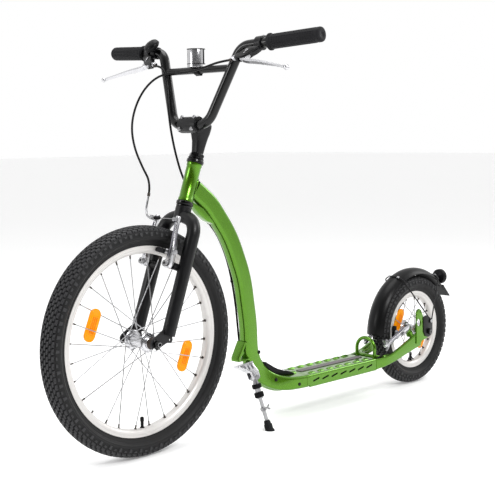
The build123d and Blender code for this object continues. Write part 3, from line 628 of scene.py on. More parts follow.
MAKERS = {maker.__name__: maker for maker in (
    green_paint, black_paint, satin_black, alloy, cast_alloy, steel, dark_steel, rim_alloy, tyre_rubber,
    soft_rubber, black_plastic, gloss_black, cable_black, grip_strip, amber, amber_core, red_lens, clear_lens,
    backdrop,
)}


@functools.cache
def look(name):
    """The material of one name, made once and then shared."""
    return MAKERS[name]()


# ---- sizes and colours that a user would change ---------------------------------------------------
class ScooterSettings(bpy.types.PropertyGroup):
    """Driving sizes and colours of the finished pieces."""
    green: FloatVectorProperty(
        name="Green", description="Colour of the sprayed frame", subtype="COLOR", size=3, min=0, max=1,
        default=(0.086, 0.238, 0.005))
    knob_height: FloatProperty(
        name="Knob height", description="Height of the tyre blocks above the casing, in millimetres",
        default=4.4, min=1, max=6)
    knob_pitch: FloatProperty(
        name="Knob pitch", description="Length of tread that one pattern of blocks takes, in millimetres",
        default=15.5, min=10, max=40)
    spoke_turn: FloatProperty(
        name="Spoke turn", description="Angle at the hub between a spoke's two ends, in degrees",
        default=54.0, min=0, max=90)
    louvres: IntProperty(
        name="Louvres", description="Raised louvres in each row of the deck", default=7, min=2, max=12)
    grip_ribs: IntProperty(
        name="Grip ribs", description="Ribs along each handlebar grip", default=17, min=4, max=40)
    lens_mm: FloatProperty(
        name="Focal length", description="Focal length of the camera, in millimetres", default=80.07,
        min=20, max=200)


def chosen():
    """The settings of the scene in hand."""
    return bpy.context.scene.scooter


# ---- wheels -------------------------------------------------------------------------------------
def around(angle, radius, across=0.0):
    """A point of a wheel, by its angle from straight ahead and its distance from the axle."""
    return Vector((radius * math.cos(angle), across, radius * math.sin(angle)))


def both_sides(half, first=1):
    """An outline of (radius, across) pairs on one side, then the same on the other side in reverse."""
    return [(r, first * y) for r, y in half] + [(r, -first * y) for r, y in reversed(half)]


def casing(outer, rim, half_width, share):
    """A point (radius, across) of the tyre's casing, for a share from -1 to 1 round its section."""
    low = rim + 4
    centre = (outer + low) / 2 + 1
    turn = share * math.radians(140)
    bulge = abs(math.cos(turn)) ** 0.86 * (1 if math.cos(turn) > 0 else -1)
    width = abs(math.sin(turn)) ** 0.92 * (1 if turn > 0 else -1)
    return (centre + (outer - centre) * bulge, half_width * width)


def tyre_shape(outer, rim, half_width):
    """A knobbly tyre about the Y axis: a casing with moulded rings, and staggered blocks."""
    shape = Shape()
    height = chosen().knob_height
    base = outer - height
    wide = half_width - 0.6
    steps = 40
    ridged = []
    for index in range(steps + 1):
        radius, across = casing(base, rim, wide, -1 + 2 * index / steps)
        lift = 0.7 if index in (4, 6, steps - 6, steps - 4) else 0
        ridged.append((radius, across + math.copysign(lift, across)))
    bead = [(rim + 1.5, 11.8), (rim - 4, 11.0), (rim - 9, 10.4)]
    shape.lathe(ridged + both_sides(bead), ABOUT_Y, 144, closed=True)
    count = round(2 * math.pi * outer / chosen().knob_pitch)
    pitch = 2 * math.pi / count
    # each row's place and half width round the section, then its blocks' phase, length and slant
    rows = [
        (0.058, 0.046, 0.00, 0.78, 0.10),
        (0.168, 0.046, 0.50, 0.78, 0.10),
        (0.276, 0.044, 0.00, 0.78, 0.08),
        (0.384, 0.046, 0.50, 0.80, 0.04),
    ]
    for index in range(count):
        for side in SIDES:
            for place, half, phase, length, slant in rows:
                offset = phase + (0.5 if side > 0 else 0)
                tread_block(shape, base, rim, wide, height, (index + offset) * pitch, pitch * length,
                            side * place, half, side * slant)
        tread_side_lug(shape, base, rim, wide, height, index * pitch, pitch, index % 2)
    return shape


def tread_block(shape, base, rim, wide, height, angle, length, place, reach, slant):
    """One zigzag block that stands on the casing."""
    half = [(-0.5, -1), (0.1, -1), (0.1, -0.7), (0.5, -0.7)]
    outline = half + [(-along, -across) for along, across in half]
    rings = []
    for lift, size in ((-0.8, 1.04), (height * 0.8, 0.94), (height, 0.84)):
        points = []
        for along, across in outline:
            turn = angle + length * size * (along + slant * across * 0.5)
            share = place + reach * size * across
            radius, y = casing(base + lift, rim, wide + lift * abs(share), share)
            points.append(around(turn, radius, y))
        rings.append(shape.ring(points))
    shape.skin(rings)


def tread_side_lug(shape, base, rim, wide, height, angle, pitch, longer):
    """A rib that runs down each sidewall from the shoulder."""
    end = 0.66 if longer else 0.58
    for side in SIDES:
        rings = []
        for lift, size in ((-0.6, 1.0), (height * 0.42, 0.82)):
            points = []
            for along, share in ((-0.5, 0.50), (0.5, 0.50), (0.36, end), (-0.36, end)):
                turn = angle + pitch * 0.62 * size * along
                radius, y = casing(base + lift * 0.5, rim, wide + lift, side * share)
                points.append(around(turn, radius, y))
            rings.append(shape.ring(points))
        shape.skin(rings)


def rim_shape(rim):
    """A box-section rim with a turned brake track and a groove beside it."""
    shape = Shape()
    half = [
        (rim, 11.4), (rim, 12.5), (rim - 1.2, 12.9), (rim - 2.0, 12.4), (rim - 5.5, 12.2), (rim - 6.0, 11.9),
        (rim - 6.5, 12.2), (rim - 10.6, 12.4), (rim - 11.4, 12.0), (rim - 12.6, 11.2), (rim - 15.0, 9.2),
        (rim - 16.6, 6.8), (rim - 17.4, 3.6),
    ]
    bed = [(rim - 12.4, 6.0), (rim - 8.8, 10.4)]
    shape.lathe(both_sides(half) + both_sides(bed, -1), ABOUT_Y, 160, closed=True)
    return shape


HOLE_CIRCLE = 19.2


def spoke_ends(rim, count):
    """The hub end and rim end of each crossed spoke."""
    found = []
    turn = math.radians(chosen().spoke_turn)
    for index in range(count):
        angle = 2 * math.pi * (index + 0.5) / count
        side = 1 if index % 2 else -1
        lean = 1 if (index // 2) % 2 else -1
        hub_end = around(angle + lean * turn, HOLE_CIRCLE, side * (25.5 + 1.6 * lean))
        found.append((hub_end, around(angle, rim - 17.2, side * 2.2)))
    return found


def hub_shape(count):
    """A turned hub with an eyelet at each spoke hole of its two flanges."""
    shape = Shape()
    flange = 22.0
    half = [
        (8.5, 36.0), (12.0, 36.0), (13.2, 35.2), (13.2, 31.5), (12.4, 31.0), (12.4, 29.0), (14.5, 27.6),
        (flange - 0.8, 27.2), (flange, 26.6), (flange, 24.6), (flange - 0.8, 24.0), (15.5, 23.2),
        (13.4, 21.0), (12.6, 16.0), (12.2, 8.0), (12.6, 2.0),
    ]
    bore = (8.5, 2.0)
    shape.lathe(both_sides(half) + both_sides([bore], -1), ABOUT_Y, 72, closed=True)
    holes = 18 if count > 24 else 12
    for side in SIDES:
        for index in range(holes):
            hole = around(2 * math.pi * index / holes, HOLE_CIRCLE, side * 27.6)
            shape.tube([hole + Vector((x, 0, z)) for x, z in circle(1.9, 10)], 0.45, 6, closed=True)
    return shape


def valve_shape(rim):
    """The valve's collar, threaded stem and cap, which stand up from the rim at the bottom."""
    shape = Shape()
    bed = rim - 17
    profile = [(5.2, 0), (5.2, 1.6), (3.6, 2.0)]
    profile += [(3.5 + 0.18 * (i % 2), 2.4 + 0.55 * i) for i in range(22)]
    profile += [(4.0, 14.8), (4.4, 15.4), (4.4, 21.6), (3.2, 24.0), (1.8, 24.6)]
    shape.lathe(profile, Matrix.Translation((0, 0, -bed)), 20)
    return shape


def wheel_reflector(shape, at, length, width):
    """A domed oval reflector, added to a shape."""
    face = at @ axes((0, 0, 0), (0, 1, 0), (0, 0, 1))
    outline = rounded(length, width, width / 2 - 0.2, 9)
    rings = []
    for inset, height in ((0.6, -2.6), (0.0, -1.8), (0.0, 1.8), (0.9, 2.6), (3.2, 2.6), (4.0, 3.3),
                          (7.0, 3.5)):
        long, wide = 1 - 2 * inset / length, 1 - 2 * inset / width
        rings.append(shape.ring([face @ Vector((x * long, y * wide, height)) for x, y in outline]))
    shape.skin(rings)


def reflector_prisms(shape, at, length, width):
    """Three columns of small raised squares on both faces of a reflector, added to a shape."""
    for row in range(-6, 7):
        for column in (-1, 0, 1):
            bead = at @ Matrix.Translation((column * width * 0.17, 3.5, row * length * 0.046))
            for flip in (1, -1):
                spin = Matrix.Diagonal((1, flip, 1, 1)) @ bead @ Matrix.Rotation(math.radians(45), 4, "Y")
                shape.block((2.7, 0.9, 2.7), spin, 0.3)


def make_wheel(name, place, outer, rim, half_width, count, reflectors):
    """Every finished piece of one wheel."""
    body = name + "_wheel"
    tyre_shape(outer, rim, half_width).moved(place).piece(
        name + "_knobbly_tyre", "tyre_rubber", body, "tyre_rubber", [name + "_tyre"], crease=28)
    rim_shape(rim).moved(place).piece(name + "_wheel_rim", "rim_alloy", body, "rim_alloy", [name + "_rim"])
    wires, nipples = Shape(), Shape()
    for hub_end, rim_end in spoke_ends(rim, count):
        line = (rim_end - hub_end).normalized()
        elbow = hub_end + Vector((0, -math.copysign(2.4, hub_end.y), 0))
        wires.tube([elbow, hub_end, hub_end + line * 2.5, rim_end], 1.05, 8)
        nipples.rod(rim_end - line * 9, rim_end + line * 1.5, 1.75, sides=10, edge=0.3)
        nipples.rod(rim_end - line * 1.2, rim_end + line * 1.2, 3.4, sides=14, edge=0.5)
    wires.moved(place).piece(name + "_crossed_spokes", "steel", body, "steel", [name + "_spokes"])
    nipples.moved(place).piece(name + "_spoke_nipples", "dark_steel", body, "steel")
    hub_shape(count).moved(place).piece(name + "_turned_hub", "alloy", body, "alloy", [name + "_hub"])
    valve_shape(rim).moved(place).piece(name + "_valve", "black_plastic", body, "soft_rubber")
    radius, angle, length, width = reflectors
    lenses, clips, cores = Shape(), Shape(), Shape()
    for turn in (0, 180):
        at = Matrix.Rotation(-math.radians(angle + turn), 4, "Y") @ Matrix.Translation((radius, 0, 0))
        wheel_reflector(lenses, at, length, width)
        reflector_prisms(cores, at, length, width)
        for end in (-0.27, 0.27):
            clips.block((width * 0.5, 8.0, 3.0), at @ Matrix.Translation((0, 0, end * length)), 0.8)
    cores.moved(place).piece(name + "_reflector_prisms", "amber_core", body, "amber")
    lenses.moved(place).piece(name + "_amber_reflectors", "amber", body, "amber",
                              [name + "_wheel_reflectors"])
    clips.moved(place).piece(name + "_reflector_clips", "amber", body, "amber")


def make_axle_ends(name, place, inner, outer, end, body):
    """Washers, flanged nuts, cone covers and threaded tips on both sides of an axle."""
    nuts, covers, tips = Shape(), Shape(), Shape()
    for side in SIDES:
        at = place @ axes((0, 0, 0), (0, side, 0), (0, 0, 1))
        face = at @ Matrix.Translation((0, 0, outer))
        nuts.lathe([(5, 0.2), (10.4, 0.2), (10.8, 0.6), (10.8, 1.4), (10.2, 1.8), (5, 1.8)], face, 36,
                   closed=True)
        nuts.slab(circle(8.6, 6), 1.8, 8.6, face, 0.8)
        nuts.lathe([(5.1, 8.4), (7.2, 8.4), (6.6, 9.6), (5.1, 9.6)], face, 24, closed=True)
        cover = [(5.2, inner + 0.2), (12.6, inner + 0.2), (13.6, inner + 1.4), (12.0, inner + 5.0)]
        cover += [(8.4, outer - 5.2), (8.4, outer - 4.4), (5.2, outer - 4.4)]
        covers.lathe(cover, at, 36, closed=True)
        turns = int((end - outer - 9.6) / 0.5)
        thread = [(4.9 - 0.35 * (i % 2), outer + 8.6 + 0.5 * i) for i in range(turns)]
        tips.lathe(thread + [(3.9, end)], at, 20)
    nuts.piece(name + "_hex_nuts", "black_paint", body, "steel", [name + "_axle_nuts"])
    covers.piece(name + "_cone_covers", "dark_steel", body, "steel")
    tips.piece(name + "_axle_ends", "steel", body, "steel")


# ---- steering -----------------------------------------------------------------------------------
BAR_SHOULDER = Vector((63, 128, 337))
BAR_TIP = Vector((43.3, 334, 356.7))
BAR_RADIUS = 11.1
SHOULDER = STEER @ BAR_SHOULDER
TIP = STEER @ BAR_TIP
ALONG_BAR = (TIP - SHOULDER).normalized()
GRIP_START = 205.0
LEVER_Y = 172.0
BELL_Y = 155.0
AHEAD = Vector((0.70, 0, -0.714))


def on_bar(y):
    """The point of the left bar end's centre line at a distance y from the middle."""
    return SHOULDER + ALONG_BAR * ((y - SHOULDER.y) / ALONG_BAR.y)


def arced(points, radii, steps=10):
    """Straight runs joined by tangent arcs, as closely spaced points."""
    knots = [Vector(p) for p in points]
    found = [knots[0]]
    for before, here, after, radius in zip(knots, knots[1:], knots[2:], radii):
        back = (before - here).normalized()
        ahead = (after - here).normalized()
        half = back.angle(ahead) / 2
        reach = radius / math.tan(half)
        centre = here + (back + ahead).normalized() * (radius / math.sin(half))
        first = here + back * reach - centre
        last = here + ahead * reach - centre
        turn = first.angle(last)
        for step in range(steps + 1):
            share = step / steps
            arm = first * math.sin((1 - share) * turn) + last * math.sin(share * turn)
            found.append(centre + arm / math.sin(turn))
    return found + [knots[-1]]


def spaced(points, gap):
    """The same path with no run longer than a gap."""
    found = [points[0]]
    for one, two in zip(points, points[1:]):
        parts = max(1, math.ceil((two - one).length / gap))
        found += [one.lerp(two, (i + 1) / parts) for i in range(parts)]
    return found


def make_grips():
    """Ribbed rubber grips with an inner flange and a dimpled end."""
    start = on_bar(GRIP_START)
    length = (TIP - start).length + 3
    profile = [(BAR_RADIUS + 0.2, 0), (17.2, 0), (18.5, 0.9), (18.5, 3.2), (17.4, 4.2), (15.3, 5.2),
               (15.3, 9)]
    ribs = chosen().grip_ribs
    pitch = (length - 22) / ribs
    for index in range(ribs):
        low = 10 + pitch * index
        profile += [(15.2, low), (15.9, low + pitch * 0.18), (16.0, low + pitch * 0.55),
                    (15.3, low + pitch * 0.74)]
    profile += [(15.4, length - 11), (16.0, length - 9.5), (16.0, length - 3.4), (15.1, length - 1.1),
                (12.8, length), (6.0, length), (4.6, length - 1.0), (0.01, length - 1.2)]
    at = axes(start, ALONG_BAR, (1, 0, 0))
    shape = Shape()
    shape.lathe(profile, at, 64, caps=False)
    shape.ribs(12, (1.0, 2.2, length - 26), at, 15.7, length / 2 - 1, 0.4)
    shape.mirrored().piece("ribbed_grips", "soft_rubber", "steering", "soft_rubber", ["grips"], crease=40)


PULL = pivot("left_brake_lever")
LEVER = axes(on_bar(LEVER_Y), hinge("left_brake_lever"), AHEAD)
HINGE_P, HINGE_Q = (LEVER.inverted() @ PULL).xy
CABLE_LINE = 42.0


def lever_bracket():
    """The clamp, body and cheeks that hold one lever."""
    shape = Shape()
    ring = axes(LEVER.translation, ALONG_BAR, LEVER.col[0].xyz)
    shape.lathe([(11.2, 0), (14.6, 0), (15.5, 1.0), (15.5, 15.0), (14.6, 16), (11.2, 16)], ring, 48,
                closed=True)
    body = [(11.5, 1), (11.5, 16), (17, 16.5), (24, 11), (34, 1.5), (26, 3), (17, 3), (15.6, 1)]
    shape.slab(body, -7.5, 7.5, LEVER, 1.6)
    cheek = [(15, 15), (24, 10), (35, 0), (44, -10), (48, -15), (48, -29), (40, -30), (31, -24), (18, -14.5),
             (15.8, -8)]
    for low, high in ((4.1, 7.6), (-7.6, -4.1)):
        shape.slab(cheek, low, high, LEVER, 1.1)
    shape.slab([(33, -27.4), (48, -27.4), (48, -33.4), (46.6, -34.4), (38, -34.4)], -7.5, 7.5, LEVER, 1.6)
    lug = [(-15.4, 2), (-15.4, 14), (-20.6, 13), (-21.6, 8), (-20.6, 3)]
    shape.slab(lug, -5.0, 5.0, LEVER, 1.2)
    shape.slab([(17, 16.2), (22, 12.2), (30, 5), (30, 7.5), (23, 14.2), (18.5, 17.4)], -3.4, 3.4, LEVER, 0.8)
    return shape


def lever_bolts():
    """The pivot screw, the clamp bolt and the reach screw of one lever."""
    shape = Shape()
    for side in SIDES:
        low, high, end = [LEVER @ Vector((HINGE_P, HINGE_Q, side * across)) for across in (7.5, 9.2, 9.5)]
        shape.rod(low, high, 4.2, sides=28, edge=0.6)
        shape.rod(high, end, 2.0, sides=6)
    shape.rod(LEVER @ Vector((-18.5, 8, -6.6)), LEVER @ Vector((-18.5, 8, 6.6)), 2.6, sides=20, edge=0.5)
    shape.rod(LEVER @ Vector((35, -10, 8.9)), LEVER @ Vector((35, -10, 7.4)), 2.2, sides=20, edge=0.4)
    return shape


def lever_blade():
    """A forged blade that thins from its hinge to a ball at the tip."""
    shape = Shape()
    root = [(HINGE_P - 4.5, HINGE_Q - 5), (33, -21.5), (45, -23), (51, -17), (53, -8), (48, -1), (40, 2.5),
            (HINGE_P - 2.5, HINGE_Q + 6.5)]
    shape.slab(root, -3.7, 3.7, LEVER, 1.2)
    route = [(45, -16), (50, -6), (53.5, 8), (55.5, 26), (59, 48), (63.5, 72), (68.5, 98), (73.5, 121)]
    path = smooth_path([(p, q, 0) for p, q in route], 5)
    rings = []
    count = len(path)
    for index, point in enumerate(path):
        share = index / (count - 1)
        ahead = path[min(index + 1, count - 1)] - path[max(index - 1, 0)]
        across = Vector((ahead.y, -ahead.x, 0)).normalized()
        thick = 4.6 - 2.0 * share + 1.2 * (1 - share) ** 3
        wide = 4.6 + 1.6 * math.sin(math.pi * min(1, share * 1.15)) - 1.0 * share
        ring = []
        for x, z in rounded(2 * thick * 0.82, 2 * wide, min(thick * 0.8, 2.4), 4):
            dish = 0.9 * (1 - (z / wide) ** 2) if x > 0 else 0
            ring.append(LEVER @ (point + across * (x - dish) + Vector((0, 0, z))))
        rings.append(shape.ring(ring))
    shape.skin(rings)
    shape.ball(LEVER @ Vector((75, 128, 0)), 6.0)
    return shape


def barrel_adjuster():
    """A knurled barrel with its lock ring and ferrule."""
    shape = Shape()
    base = LEVER @ Vector((CABLE_LINE, -34.4, 0))
    at = axes(base, -ALONG_BAR, LEVER.col[2].xyz)
    shape.lathe([(2.6, 0), (5.0, 0), (5.2, 0.4), (5.2, 2.0), (4.2, 2.4), (4.2, 3.0), (5.2, 3.4), (5.3, 7.4),
                 (4.4, 8.2), (3.6, 8.6), (3.6, 13.6), (3.0, 14.4), (2.55, 14.4)], at, 32, closed=True)
    shape.ribs(14, (0.7, 1.1, 4.0), at, 5.3, 5.4, 0.25)
    return shape


def make_levers():
    """Both brackets, their bolts, both barrels and the two blades."""
    lever_bracket().mirrored().piece(
        "lever_clamp_brackets", "satin_black", "steering", "satin_black", ["lever_brackets"])
    lever_bolts().mirrored().piece("lever_pivot_bolts", "steel", "steering", "steel")
    barrel_adjuster().mirrored().piece("cable_barrels", "alloy", "steering", "alloy", ["barrel_adjusters"])
    for side, place in (("left", Matrix.Identity(4)), ("right", MIRROR_Y)):
        lever_blade().moved(place).piece(
            side + "_lever_blade", "alloy", side + "_lever", "alloy", [side + "_brake_lever"], crease=50)


CLAMP_AT = (39, 0, 168)
CLAMP_HALF = 27.6
CLAMP_RADIUS = 18.4
CLAMP_BORE = 11.3


def make_stem():
    """A tapered stem, its clamp, faceplate and bolts."""
    web = Shape()
    rings = []
    for w, back, front, half in ((113, -11.6, 11.6, 11.4), (118, -11.8, 12.2, 11.6), (138, -12.4, 17.5, 12.4),
                                 (152, -13.0, 24.5, 13.8), (164, -14.2, 31.0, 16.2), (176, -14.0, 35.0, 18.0),
                                 (182, -13.0, 35.0, 18.0), (184.4, -11.6, 33.5, 16.6)):
        outline = rounded(front - back, 2 * half, half * 0.62, 5)
        rings.append(web.ring([STEER @ Vector((x + (back + front) / 2, y, w)) for x, y in outline]))
    web.skin(rings)
    web.lathe([(11.1, 88), (11.1, 114)], STEER, 40)
    across = STEER @ crossways(*CLAMP_AT)
    rear, front = -0.4, 1.0
    outline = arc(CLAMP_RADIUS, 92, 269, 11) + [(rear, -CLAMP_RADIUS), (rear, -CLAMP_BORE)]
    outline += arc(CLAMP_BORE, 262, 97, -11) + [(rear, CLAMP_BORE), (rear, CLAMP_RADIUS)]
    web.slab(outline, -CLAMP_HALF, CLAMP_HALF, across, 1.1)
    web.piece("tapered_stem", "satin_black", "steering", "satin_black", ["stem"], crease=42)
    cap = Shape()
    outline = [(front, -CLAMP_RADIUS)] + arc(CLAMP_RADIUS, -88, 89, 11, wide=17.0) + [(front, CLAMP_RADIUS)]
    outline += [(front, CLAMP_BORE)] + arc(CLAMP_BORE, 82, -83, -11) + [(front, -CLAMP_BORE)]
    cap.slab(outline, -CLAMP_HALF, CLAMP_HALF, across, 1.1)
    cap.piece("bar_clamp_cap", "satin_black", "steering", "satin_black", ["stem_faceplate"], crease=42)
    bolts = Shape()
    head = [(0.01, 15.6), (2.0, 15.6), (2.2, 14.2), (2.4, 15.6), (3.6, 15.6), (4.2, 14.9), (4.2, 11.0),
            (0.01, 11.0)]
    for y in (-20, 20):
        for w in (154.2, 181.8):
            bolts.lathe(head, STEER @ axes((CLAMP_AT[0], y, w), (1, 0, 0), (0, 0, 1)), 24, caps=False)
    bolts.lathe([(0.01, 183.6), (2.6, 183.6), (3.0, 184.8), (5.6, 184.8), (6.2, 184.2), (6.2, 182),
                 (0.01, 182)],
                STEER, 24, caps=False)
    bolts.piece("stem_socket_bolts", "steel", "steering", "steel", ["stem_bolts"])


HEAD_LENGTH = 90.5


def make_headset():
    """Pressed cups, the crown race, the locking cone, its toothed washer and the nut."""
    cups = Shape()
    cup = [(14.5, 0), (18.6, 0), (19.5, 1.2), (19.5, 6.6), (18.8, 7.8), (16.4, 8.0), (16.0, 4), (14.5, 4)]
    for base, way in ((0, -1), (HEAD_LENGTH, 1)):
        cups.lathe([(radius, base + way * height) for radius, height in cup], STEER, 56, closed=True)
    cups.piece("pressed_head_cups", "black_paint", "frame", "black_paint", ["headset_cups"])
    nuts = Shape()
    nuts.lathe([(12.9, -14), (17.4, -14), (18, -13), (18, -9.4), (17.2, -8.5), (12.9, -8.5)], STEER, 56,
               closed=True)
    nuts.lathe([(12.75, 98.6), (16.6, 98.6), (17.5, 99.6), (17.5, 103.2), (16.8, 104), (12.75, 104)], STEER,
               56, closed=True)
    nuts.ribs(28, (0.8, 1.6, 2.6), STEER, 17.3, 101.4, 0.25)
    nuts.lathe([(12.75, 104.1), (16.4, 104.1), (16.4, 105.9), (12.75, 105.9)], STEER, 48, closed=True)
    nuts.slab(circle(17.4, 6), 106.0, 112.2, STEER, 0.9)
    nuts.lathe([(11.3, 112), (15.0, 112), (14.2, 113.4), (11.3, 113.4)], STEER, 48, closed=True)
    nuts.piece("headset_lock_nut", "black_paint", "steering", "black_paint", ["headset_locknuts"])


RIGHT_BAR = Vector((ALONG_BAR.x, -ALONG_BAR.y, ALONG_BAR.z))
BELL_FOOT = Vector((on_bar(BELL_Y).x, -BELL_Y, on_bar(BELL_Y).z))
BELL = axes(BELL_FOOT, hinge("bell_thumb_lever"), RIGHT_BAR)


def make_bell():
    """A black dome on a clamp band, with its thumb lever."""
    base = Shape()
    ring = axes(BELL_FOOT, RIGHT_BAR, BELL.col[2].xyz)
    base.lathe([(11.2, -5), (13.4, -5), (14, -4.4), (14, 4.4), (13.4, 5), (11.2, 5)], ring, 40, closed=True)
    base.lathe([(0.01, 11.6), (8, 11.6), (8, 16.4), (9, 17), (16.8, 17.1), (17.6, 17.6), (17.6, 18.6),
                (16.9, 19.1), (0.01, 19.2)], BELL, 48, caps=False)
    base.block((9, 7, 5), BELL @ Matrix.Translation((0, 0, -15)), 1.2)
    base.piece("bell_band_and_plate", "black_plastic", "steering", "black_plastic", ["bell_base"])
    dome = Shape()
    outer = [(20.0, 20.2), (20.3, 20.9), (20.0, 21.8), (19.3, 22.2), (19.2, 25.0), (18.0, 27.6), (15.6, 29.6),
             (12.0, 31.2), (7.0, 32.3), (4.2, 32.6), (3.6, 33.0), (2.6, 33.2), (0.01, 33.2)]
    inner = [(0.01, 30.6), (8, 30.2), (14, 28), (17.4, 24.6), (18.6, 20.2)]
    dome.lathe(outer + inner, BELL, 64, caps=False)
    dome.lathe([(18.6, 20.2), (20.0, 20.2)], BELL, 64, caps=False)
    dome.piece("bell_shell", "gloss_black", "steering", "gloss_black", ["bell_dome"])
    thumb = Shape()
    thumb.lathe([(0.01, 13.0), (3, 13.0), (3, 16.4), (1.45, 16.6), (1.45, 23.4), (0.01, 23.6)],
                BELL @ Matrix.Translation((12, 0, 0)), 20, caps=False)
    paddle = [(9.6, -2.4), (14.4, -2.4), (15.2, -7), (15.6, -14), (15.4, -18), (14.4, -20.4), (12.6, -21.4),
              (10.4, -21.2), (8.6, -19.8), (7.8, -16.6), (8.4, -10)]
    thumb.slab(paddle, 13.4, 15.9, BELL, 0.8)
    for index in range(4):
        thumb.block((5.6, 0.9, 0.8), BELL @ Matrix.Translation((11.8, -13.2 - 1.9 * index, 16.0)), 0.25)
    thumb.piece("bell_thumb_paddle", "gloss_black", "bell_lever", "gloss_black", ["bell_thumb_lever"])


def make_front_reflector():
    """A silvered half-round reflector in a clear can on the crossbar's clip."""
    low, high = corners("front_reflector")
    hold_low, hold_high = corners("front_reflector_bracket")
    can = Matrix.Translation((high.x - 20, 0, 0))
    clear = Shape()
    rings = []
    for z, radius in ((low.z + 1, 18.6), (low.z + 1.8, 19.8), (high.z - 2.2, 19.8), (high.z - 1.2, 19.4),
                      (high.z, 18.0)):
        outline = arc(radius, -96, 97, 6) + [(-2.2, radius * 0.96), (-2.2, -radius * 0.96)]
        rings.append(clear.ring([can @ Vector((x, y, z)) for x, y in outline]))
    clear.skin(rings)
    clear.piece("crossbar_reflector_lens", "clear_lens", "steering", "clear", ["front_reflector"], crease=25)
    holder = Shape()
    bar = Vector((hold_low.x + 11.5, 0, hold_low.z + 11.5))
    band = [(8.1, -7), (10.8, -7), (11.5, -6.3), (11.5, 6.3), (10.8, 7), (8.1, 7)]
    holder.lathe(band, crossways(*bar), 40, closed=True)
    holder.slab(rounded(8, 13, 1.5, 3), 8, 17, Matrix.Translation(bar + Vector((-1.5, 0, 0))), 0.6)
    shell = [(max(x, -7.6), y) for x, y in arc(20.6, 102, 259, 6)]
    inner = [(max(x * 0.93, -5.6), y * 0.93) for x, y in reversed(shell)]
    holder.slab(shell + inner, bar.z + 12.6, hold_high.z, can, 0.5)
    for z in (bar.z + 13.4, hold_high.z - 0.9):
        holder.slab(circle(20.5, 40), z - 0.7, z + 0.8, can, 0.3)
    holder.rod((bar.x - 2, -9.5, bar.z - 10.5), (bar.x - 2, 9.5, bar.z - 10.5), 2.2, sides=16, edge=0.4)
    holder.piece(
        "crossbar_reflector_clip", "black_plastic", "steering", "black_plastic", ["front_reflector_bracket"])


# ---- rim brakes -----------------------------------------------------------------------------------
STUD_X = 38.5
STUD_Y = 40.0
FRONT_BRAKE = STEER @ Matrix.Translation((0, 0, (STEER.inverted() @ pivot("front_left_arm")).z))
REAR_BRAKE = axes((-480, 0, 134), (0.909, 0, -0.416), (0.416, 0, 0.909))


def arm_body(tip):
    """A forged arm that tapers from its boss to its tip, upright on the left of a brake's frame."""
    shape = Shape()
    rings = []
    for w, y, half_y, half_x in (
        (-9, 40, 5.6, 4.8), (-7.5, 40, 7.6, 6.2), (-4, 40, 8.6, 7), (5, 40, 8.6, 7), (12, 40.2, 7.8, 6.4),
        (24, 40.4, 7.0, 5.6), (36, 40.2, 7.0, 5.4), (44, 39.4, 5.8, 5.0), (58, 38.4, 4.8, 4.6),
        (76, 37, 4.4, 4.4), (tip - 14, 35.6, 4.6, 4.6), (tip - 4, 35, 5.2, 5.0), (tip, 35, 4.2, 4.2),
    ):
        outline = rounded(2 * half_x, 2 * half_y, min(half_x, half_y) * 0.55, 4)
        rings.append(shape.ring([(STUD_X + x, y + dy, w) for x, dy in outline]))
    shape.skin(rings)
    return shape


def arm_panel(tip):
    """The darker recessed faces on the front and outer sides of an arm."""
    shape = Shape()
    front = [Vector((STUD_X + x, y, w)) for x, y, w in (
        (5.3, 40.2, 14), (5.3, 40.2, 34), (4.9, 38.8, 54), (4.5, 37, 74), (4.4, 35.8, tip - 17))]
    outer = [point + Vector((-5.1, 5.6 - 0.035 * (point.z - 14), 0)) for point in front[1:]]
    for path, section in ((front, rounded(2.2, 5.2, 0.8, 2)), (outer, rounded(5.0, 2.2, 0.8, 2))):
        shape.sweep(smooth_path(path, 4), section, up=(1, 0, 0))
    return shape


def pad_parts(height, reach, tilt):
    """The rubber pad with its water grooves, and the threaded stud, washers and nut that hold it."""
    rubber = Shape()
    at = Matrix.Translation((STUD_X, 20.0, height)) @ Matrix.Rotation(math.radians(tilt), 4, "Y")
    half = reach / 2
    outline = [(-half, 4), (3 - half, 5), (half - 3, 5), (half, 4), (half, -3), (half - 4, -5),
               (4 - half, -5), (-half, -3)]
    rubber.slab(outline, -5.1, 3.4, at @ ABOUT_Y, 0.9)
    for index in (-1, 0, 1):
        rubber.block((1.6, 8.6, 10.8), at @ Matrix.Translation((reach * 0.22 * index, -1, 0)), 0.4)
    steel = Shape()
    stud = crossways(STUD_X, 0, height)
    steel.rod((STUD_X, 23, height), (STUD_X, 54, height), 2.9, sides=20, edge=0.4)
    steel.lathe([(3, 47.4), (6.2, 47.4), (6.2, 48.8), (5.4, 50), (3, 50)], stud, 28, closed=True)
    steel.slab(circle(5.8, 6), 50.0, 54.6, stud, 0.5)
    steel.lathe([(3, 24.6), (6.6, 24.6), (7.2, 27.4), (4.6, 31.6), (3, 31.6)], stud, 28, closed=True)
    spring = [(-6.6, 45, -4), (-7.4, 47.6, 6), (-7.0, 47.4, 24), (-6.2, 45.4, 44), (-3.2, 43.6, 56)]
    steel.tube(smooth_path([(STUD_X + x, y, w) for x, y, w in spring], 5), 0.75, 8)
    return rubber, steel


